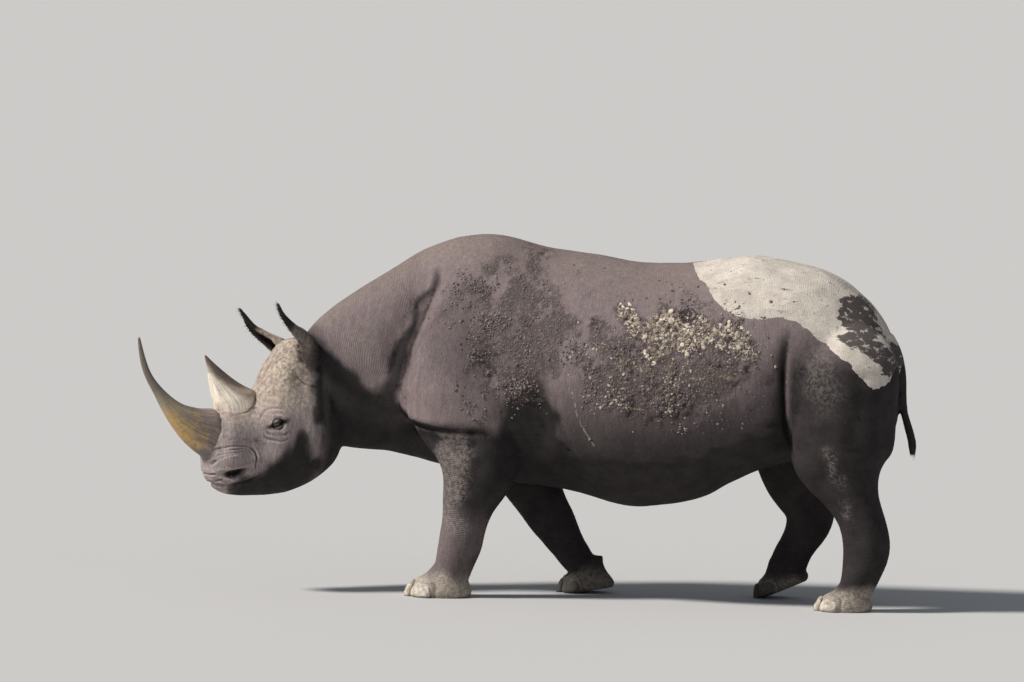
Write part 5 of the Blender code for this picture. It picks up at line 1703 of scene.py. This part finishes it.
# Black of the eyes' rims and nostrils: partly dark skin, partly painted shade.
LIDS_BLACK = (0.009, 0.007, 0.007)
RUST = (0.330, 0.170, 0.095)
HORN_CRACKS = (0.055, 0.042, 0.034)
NAIL_HORN = ((0.340, 0.295, 0.245), (0.620, 0.560, 0.465))
NAIL_EDGE = (0.150, 0.120, 0.095)
# Painted shade on the right feet's nails.
NAIL_IN_SHADE = (0.030, 0.025, 0.023)
PUPIL = (0.002, 0.002, 0.002)
IRIS = ((0.040, 0.018, 0.008), (0.085, 0.040, 0.017))
IRIS_RIM = (0.035, 0.024, 0.019)
EYE_WHITE = (0.200, 0.140, 0.110)
HAIR = ((0.020, 0.014, 0.011), (0.060, 0.042, 0.030))
FLOOR = ((0.500, 0.494, 0.488), (0.530, 0.524, 0.518))


class Hide(Finish):
    """The hide's finish, laid on in coats over shared noises and masks, each from 0 to 1."""

    def __init__(self):
        super().__init__("hide")
        self.broad, self.middle = self.noise(0.30, 4.0), self.noise(0.075, 5.0, 0.60)
        self.fine, self.grain = self.noise(0.016, 5.0, 0.65), self.noise(0.0045, 3.0, 0.6)
        self.streaks = self.noise(0.028, 4.0, 0.6, stretch=(0.6, 0.6, 3.2))
        self.slanted = self.noise(0.030, 5.0, 0.65, stretch=(1.6, 1.0, 0.7))
        self.hairlines = self.noise(0.007, 4.0, 0.6, stretch=(0.8, 0.8, 6.0))
        self.cracks = self.cells(0.0075).ramp(0.0, 0.22)
        self.nubs = self.cells(0.0125, "F1").ramp(0.62, 0.12) * self.grain.ramp(0.36, 0.52)
        self.crusty = self.cells(0.030, "F1").ramp(0.60, 0.20)
        self.lines = (self.field("line_phase") * math.pi).math("SINE").math("ABSOLUTE")
        self.line_depth, self.hollow = self.field("line_strength"), self.field("hollow")
        self.dark, rump = self.field("dark"), self.field("rump")
        self.patchy = (rump + (self.fine - 0.5) * 0.50 + (self.middle - 0.5) * 0.35).ramp(0.44, 0.54)
        self.spread = (self.fine - 0.5) * 0.9 + (self.middle - 0.5) * 2.0
        either = self.field("pale_mud").most(self.field("dark_mud"))
        self.muddy = (either + self.spread).ramp(0.45, 1.05) * either.ramp(0.02, 0.30)
        broken = (self.fine - 0.5) * 1.6 + (self.middle - 0.5) * 1.6 + (self.crusty - 0.5) * 0.3
        slab = self.field("slab")
        self.slab = (slab + broken).ramp(0.52, 0.70) * slab.ramp(0.02, 0.30)

    def bare_hide(self):
        """Hide colour with painted shade on the dark field, tan dust on the back, scuffs and a painted
        highlight, dust round the feet.
        """
        dry = self.blend(self.streaks.ramp(0.30, 0.70), *DRY_HIDE)
        # Painted shade: the dark field turns the hide to its shaded colour.
        in_shade = self.blend(self.middle.ramp(0.25, 0.75), *SHADED_HIDE)
        shift = (self.middle - 0.5) * 0.25 + (self.fine - 0.5) * 0.20 + (0.5 - self.hairlines) * 0.5
        shaded_share = self.dark * 1.06 + shift * self.dark.ramp(0.02, 0.25) * (1.08 - self.dark)
        colour = self.blend(shaded_share.most(0.0).least(1.0) ** 0.75, dry, in_shade)
        tan = self.blend(self.fine.ramp(0.35, 0.68), *TAN_DUST)
        dust = self.field("crest") * (0.36 + 0.5 * self.middle) + (self.broad - 0.50) * 0.7
        dust = dust - self.dark * 0.8 + self.hollow * -0.3
        colour = self.blend(dust.most(0.0).least(0.70), colour, tan)
        # Scuffs, and a painted highlight on the left haunch.
        scuff_and_highlight = self.fine.ramp(0.42, 0.60) * 0.65 + self.grain.ramp(0.48, 0.62) * 0.45
        colour = self.blend((self.field("scuff_and_highlight") * scuff_and_highlight).least(0.8), colour, SCUFF_AND_HIGHLIGHT)
        dusty = self.field("dusty") * (0.55 + self.fine.ramp(0.36, 0.60) * 0.5)
        return self.blend(dusty.least(0.95), colour, FOOT_DUST)

    def face_light_and_cream(self, colour):
        """Painted light on the lit part of the face, and the cream of its forehead and bridge, partly
        painted light.
        """
        # Painted light on the lit part of the face.
        face = self.blend(self.hairlines.ramp(0.3, 0.7), *LIT_FACE)
        colour = self.blend(self.field("face") * (0.55 + self.streaks * 0.4), colour, face)
        mottled = self.streaks.ramp(0.34, 0.58) * 0.45 + self.middle.ramp(0.32, 0.62) * 0.30 + 0.28
        creamy = self.field("cream") * (mottled + self.hollow * -0.45)
        cream = self.blend(self.fine.ramp(0.32, 0.66), *CREAM)
        return self.blend(creamy.least(1.0).most(0.0), colour, cream)

    def mud(self, colour):
        """Rubble of dried mud on the sides with pale crumbs in it, and the left side's slab."""
        # Rubble: dark between the nubs and pale on their tops, painted shade and painted highlight.
        colour = self.blend(self.muddy * 0.72, colour, self.blend(self.nubs, *RUBBLE))
        pale = self.field("pale_mud")
        crumbs = (pale + self.spread * 1.3).ramp(1.05, 1.35) * pale.ramp(0.1, 0.4)
        # Pale crumbs, dark between them as painted shade.
        colour = self.blend(crumbs * 0.75, colour, self.blend(self.nubs, *PALE_CRUMBS))
        # The slab is darker in the cracks between its cells, partly painted shade.
        slab = self.blend(self.fine.ramp(0.42, 0.58) * (0.35 + 0.65 * self.crusty), *SLAB_MUD)
        colour = self.blend(self.slab * 0.92, colour, slab)
        holes = (self.field("holes") + self.fine - 0.5).ramp(0.45, 0.62)
        return self.blend(holes * 0.85, colour, SLAB_HOLES)

    def white_rump(self, colour):
        """The rump's white patch, streaked and specked, with its dark blotch, and the flank's scratch."""
        white = self.blend(self.middle.ramp(0.28, 0.66), *RUMP)
        white = self.blend(self.slanted.ramp(0.54, 0.72) * 0.40, white, RUMP_STREAKS)
        specks = self.cells(0.055, "F1").ramp(0.13, 0.07) * self.middle.ramp(0.53, 0.62)
        white = self.blend(specks * 0.75, white, RUMP_SPECKS)
        colour = self.blend(self.patchy, colour, white)
        stain = self.field("blotch") * 0.95 + (self.slanted - 0.5) * 3.4 + (self.fine - 0.5) * 0.8
        colour = self.blend(stain.ramp(0.38, 0.62) * self.patchy * 0.55, colour, STAIN_EDGE)
        colour = self.blend(stain.ramp(0.56, 0.72) * self.patchy * 0.92, colour, STAIN)
        scratch = self.field("scratch").ramp(0.0050, 0.0020) * self.fine.ramp(0.30, 0.45)
        return self.blend(scratch * 0.8, colour, SCRATCHED)

    def shaded(self, colour):
        """Painted shade in folds, cracks, wrinkles and pits, a painted highlight on ridges, and black rims
        of lids and nostrils, partly painted shade.
        """
        # Painted shade in hollows, deep folds, cracks and wrinkle valleys; grain and noise vary the tone.
        shade = 1 - (self.hollow.ramp(0.15, 1.0) * 0.40 + self.field("deep").ramp(0.20, 1.0) * 0.25)
        shade = shade * (0.86 + 0.14 * self.cracks) * (0.82 + 0.36 * self.grain)
        shade = shade * (0.80 + 0.40 * self.hairlines) * (0.86 + 0.28 * self.fine)
        shade = shade * (1 - self.line_depth * (1 - self.lines) ** 3.0 * 0.16)
        # A painted highlight on raised ridges outside the painted shade.
        shade = shade + self.hollow.ramp(-0.15, -0.95) * (1 - self.dark) * 0.14
        # The pit field deepens the painted shade in the elbow and the recesses.
        colour = self.darken(colour, shade * (1 - self.field("pit") * 0.5))
        return self.blend(self.field("lids") * 0.94, colour, LIDS_BLACK)

    def relief(self):
        """The normal: cracks and grain, over them the wrinkles, and over those the rubble of mud."""
        gritty = self.cracks * 0.35 + self.grain * 0.45 + self.fine * 0.5
        normal = self.bump(gritty, 0.0018, strength=0.75)
        ridged = (self.lines ** 0.6) * self.line_depth + self.middle * 0.4 + self.hairlines * 0.5
        normal = self.bump(ridged, 0.0020, normal, strength=0.80)
        rubbly = self.muddy * (self.nubs * 0.45 + self.fine * 0.3)
        rubbly = rubbly + self.slab * (self.fine * 1.2 + self.crusty * 0.6)
        return self.bump(rubbly, 0.0085, normal, strength=0.90)


def hide_finish():
    """Grey-mauve hide under fine dust: painted shade low down and in its folds, muddy sides, a white rump.
    """
    f = Hide()
    colour = f.shaded(f.white_rump(f.mud(f.face_light_and_cream(f.bare_hide()))))
    roughness = 0.62 + 0.20 * f.fine + f.patchy * 0.06 + f.dark * 0.08
    return f.done({"Specular IOR Level": 0.08}, Base_Color=colour, Roughness=roughness, Normal=f.relief())


def horn_finish(name, base, mid, tip, patch, patch_range, lean):
    """Worn horn: fibres lengthwise, a mottled base, a dark polished tip, and a pale or ochre patch.

    The dark of the tip reaches lower on the rear edge than on the front one by `lean` of the length."""
    f = Finish(name)
    along, front, raised = f.field("along"), f.field("front"), f.field("raised")
    mottle, fine = f.noise(0.030, 4.0, 0.6), f.noise(0.007, 4.0, 0.65)
    turn = f.field("around")
    place = {0: turn.math("SINE"), 1: turn.math("COSINE"), 2: along * 0.22}
    spot = f.node("ShaderNodeCombineXYZ", None, place)
    inputs = {"Vector": spot, "Scale": 14.0, "Detail": 4.0, "Roughness": 0.65}
    fibre = f.node("ShaderNodeTexNoise", None, inputs)
    # The tip's dark reaches lower on the rear edge and the patch lies on the front: partly the horn's
    # colour, partly painted shade on the rear and painted light on the front.
    way = along + (mottle - 0.5) * 0.22 + (fibre - 0.5) * 0.25 - front * lean
    colour = f.blend(way.ramp(0.18, 0.44), base, mid)
    colour = f.blend(way.ramp(0.46, 0.68), colour, tip)
    low, high = patch_range
    marked = way.ramp(low - 0.06, low + 0.06) * way.ramp(high + 0.08, high - 0.08)
    marked = marked * (front + (mottle - 0.5) * 1.3 + (fine - 0.5) * 0.4).ramp(-0.25, 0.45)
    colour = f.blend(marked * 0.85, colour, patch)
    rust = along.ramp(0.30, 0.12) * (mottle + (fine - 0.5) * 0.9).ramp(0.54, 0.66)
    rust = rust * (0.3 - front).ramp(0.0, 0.6)
    colour = f.blend(rust * 0.55, colour, RUST)
    fibrous = (fibre - 0.5) * 2.0 + (fine - 0.5) * 0.5
    # Raised fibres lighter and dents darker: painted highlight and painted shade.
    colour = f.darken(colour, 0.95 + fibrous * 0.9 + raised.ramp(-0.6, 0.6) * 0.12)
    cracked = (fibre - 0.5 + (fine - 0.5) * 0.8).ramp(-0.16, -0.28)
    colour = f.blend(cracked * 0.75, colour, HORN_CRACKS)
    normal = f.bump(fibre * 0.9 + fine * 0.4, 0.0022)
    roughness = 0.62 - along * 0.15 + 0.15 * (fine - 0.5)
    return f.done({"Specular IOR Level": 0.35}, Base_Color=colour, Roughness=roughness, Normal=normal)


def nail_finish():
    """Grey-cream nail with growth lines, chalky, stained at its lower edge, and painted in shade on the
    right feet.
    """
    f = Finish("nail")
    rise, fine = f.field("rise"), f.noise(0.006, 4.0, 0.6)
    lines = (rise * 34.0 + f.noise(0.02) * 3.0).math("SINE") * 0.5 + 0.5
    colour = f.blend(f.noise(0.018, 4.0).ramp(0.35, 0.65), *NAIL_HORN)
    colour = f.blend(rise.ramp(-0.65, -0.98), colour, NAIL_EDGE)
    # Painted shade on the right feet's nails.
    colour = f.blend(f.field("in_shade") * 0.88, colour, NAIL_IN_SHADE)
    colour = f.darken(colour, 0.80 + 0.20 * lines + 0.2 * (fine - 0.5))
    normal = f.bump(lines * 0.5 + fine * 0.5, 0.0012)
    return f.done({"Specular IOR Level": 0.4}, Base_Color=colour, Roughness=0.55 + 0.2 * fine, Normal=normal)


def eye_finish():
    """A wet dark eye: black pupil, brown iris with spokes, brownish white at the corners."""
    f = Finish("eye")
    away, spokes = f.field("away"), f.noise(0.0016, 3.0)
    colour = f.blend(away.ramp(0.10, 0.13), PUPIL, IRIS[0])
    colour = f.blend(spokes.ramp(0.45, 0.7) * away.ramp(0.13, 0.2) * 0.6, colour, IRIS[1])
    colour = f.blend(away.ramp(0.36, 0.44), colour, IRIS_RIM)
    colour = f.blend(away.ramp(0.55, 0.75), colour, EYE_WHITE)
    constants = {"Specular IOR Level": 0.6, "Coat Roughness": 0.03, "Coat Weight": 1.0}
    return f.done(constants, Base_Color=colour, Roughness=0.16 + 0.1 * spokes)


def hair_finish():
    """Stiff dark brown hair, browner at its tip."""
    f = Finish("hair")
    colour = f.blend(f.field("tip").ramp(0.3, 1.0), *HAIR)
    colour = f.darken(colour, 0.7 + 0.6 * f.noise(0.01))
    return f.done({"Specular IOR Level": 0.5}, Base_Color=colour, Roughness=0.42 + 0.2 * f.noise(0.004))


def mud_finish(name, low, high):
    """Dried mud, each crumb of its own shade, gritty."""
    f = Finish(name)
    fine, grit = f.noise(0.006, 4.0, 0.65), f.noise(0.0016, 2.0)
    colour = f.blend((f.field("shade") + (fine - 0.5) * 0.8).least(1.0).most(0.0), low, high)
    normal = f.bump(fine * 0.6 + grit * 0.4, 0.0014)
    return f.done({"Specular IOR Level": 0.2}, Base_Color=colour, Roughness=0.85 + 0.1 * grit, Normal=normal)


def floor_finish():
    """Plain pale studio floor."""
    f = Finish("floor")
    colour = f.blend(f.noise(0.9, 2.0) * 0.25, *FLOOR)
    return f.done({"Specular IOR Level": 0.2}, Base_Color=colour, Roughness=0.75 + 0.1 * f.noise(0.3))


# ---------------------------------------------------------------- camera, light and floor
CAMERA_AZIMUTH = math.radians(8.5)
CAMERA_TILT = math.radians(4.7)  # above the horizon
CAMERA_ROLL = math.radians(1.25)
CAMERA_DISTANCE = 110.0
CAMERA_LENS = 898.1  # mm on a 36 mm sensor
AIM = (-0.115, 0.085, 1.093)
# Each light: the way towards it, strength, degrees across and colour.
LIGHTS = (
    ("key", (-0.64, -0.34, 0.69), 4.6, 10, (1.0, 0.965, 0.92)),
    ("fill", (0.35, -0.85, 0.40), 0.18, 60, (0.86, 0.92, 1.0)),
)
SKY_COLOUR = (0.80, 0.86, 0.95)
SKY_STRENGTH = 0.27
FLOOR_HALF = 900.0


def build_stage():
    """The camera, a soft key light from the head's side, weak fill light, and a wide floor."""
    scene = bpy.context.scene
    level = math.cos(CAMERA_TILT)
    ahead = -math.sin(CAMERA_AZIMUTH) * level, math.cos(CAMERA_AZIMUTH) * level, -math.sin(CAMERA_TILT)
    forward = Vector(ahead)
    data = bpy.data.cameras.new("camera")
    data.lens = CAMERA_LENS
    data.clip_end = 2000.0
    camera = bpy.data.objects.new("camera", data)
    turn = forward.to_track_quat("-Z", "Y").to_matrix().to_4x4() @ Matrix.Rotation(CAMERA_ROLL, 4, "Z")
    camera.matrix_world = Matrix.Translation(Vector(AIM) - CAMERA_DISTANCE * forward) @ turn
    scene.collection.objects.link(camera)
    scene.camera = camera
    for name, toward, strength, angle, colour in LIGHTS:
        sun = bpy.data.lights.new(name, "SUN")
        sun.energy, sun.angle, sun.color = strength, math.radians(angle), colour
        light = bpy.data.objects.new(name, sun)
        light.rotation_euler = Vector(toward).to_track_quat("Z", "Y").to_euler()
        scene.collection.objects.link(light)
    world = bpy.data.worlds.new("studio")
    world.use_nodes = True
    sky = world.node_tree.nodes["Background"].inputs
    sky["Color"].default_value = (*SKY_COLOUR, 1.0)
    sky["Strength"].default_value = SKY_STRENGTH
    scene.world = world
    scene.view_settings.view_transform = "Standard"
    points = FLOOR_HALF * np.array([[-1, -1, 0], [1, -1, 0], [1, 1, 0], [-1, 1, 0]])
    mesh = bpy.data.meshes.new("floor")
    mesh.from_pydata(points.tolist(), [], [(0, 1, 2, 3)])
    mesh.materials.append(floor_finish())
    floor = bpy.data.objects.new("floor", mesh)
    scene.collection.objects.link(floor)


# Each horn: its finish's name, colours of base, middle, tip and patch, the patch's reach, lean and seed.
HORN_LOOKS = {
    "horn_front": (
        "front horn",
        (0.225, 0.182, 0.164), (0.335, 0.275, 0.200), (0.195, 0.162, 0.132),
        (0.630, 0.395, 0.120), (0.16, 0.47), 0.03, 101,
    ),
    "horn_rear": (
        "rear horn",
        (0.860, 0.720, 0.590), (0.430, 0.345, 0.270), (0.165, 0.125, 0.100),
        (0.880, 0.790, 0.650), (0.00, 0.46), 0.30, 131,
    ),
}
# Each kind of mud: where it lies, crumbs, least and greatest size, height, dark and pale colour.
MUDS = {
    "pale_mud": (
        pale_crumbs, 1500, (0.0020, 0.0072), 0.50, (0.110, 0.090, 0.080), (0.450, 0.380, 0.315),
    ),
    "slab_mud": (
        slab_crumbs, 520, (0.0025, 0.0120), 0.24, (0.150, 0.118, 0.098), (0.640, 0.550, 0.450),
    ),
    "dark_mud": (
        dark_crumbs, 6500, (0.0016, 0.0066), 0.60, (0.085, 0.069, 0.065), (0.235, 0.192, 0.180),
    ),
}

rng = np.random.default_rng(11)
build_stage()
hair = hair_finish()
skin = build_skin(hide_finish())
for name, (*look, seed) in HORN_LOOKS.items():
    build_horn(name, horn_finish(*look), seed)
build_nails(nail_finish())
build_eyes(eye_finish())
build_ear_hair(hair, rng)
build_tail_hair(hair, rng)
build_lashes(hair, rng)
for name, (density, count, sizes, height, *colours) in MUDS.items():
    mud = mud_finish(name.replace("_", " "), *colours)
    build_clods(name, skin, density, count, sizes, height, mud, rng)
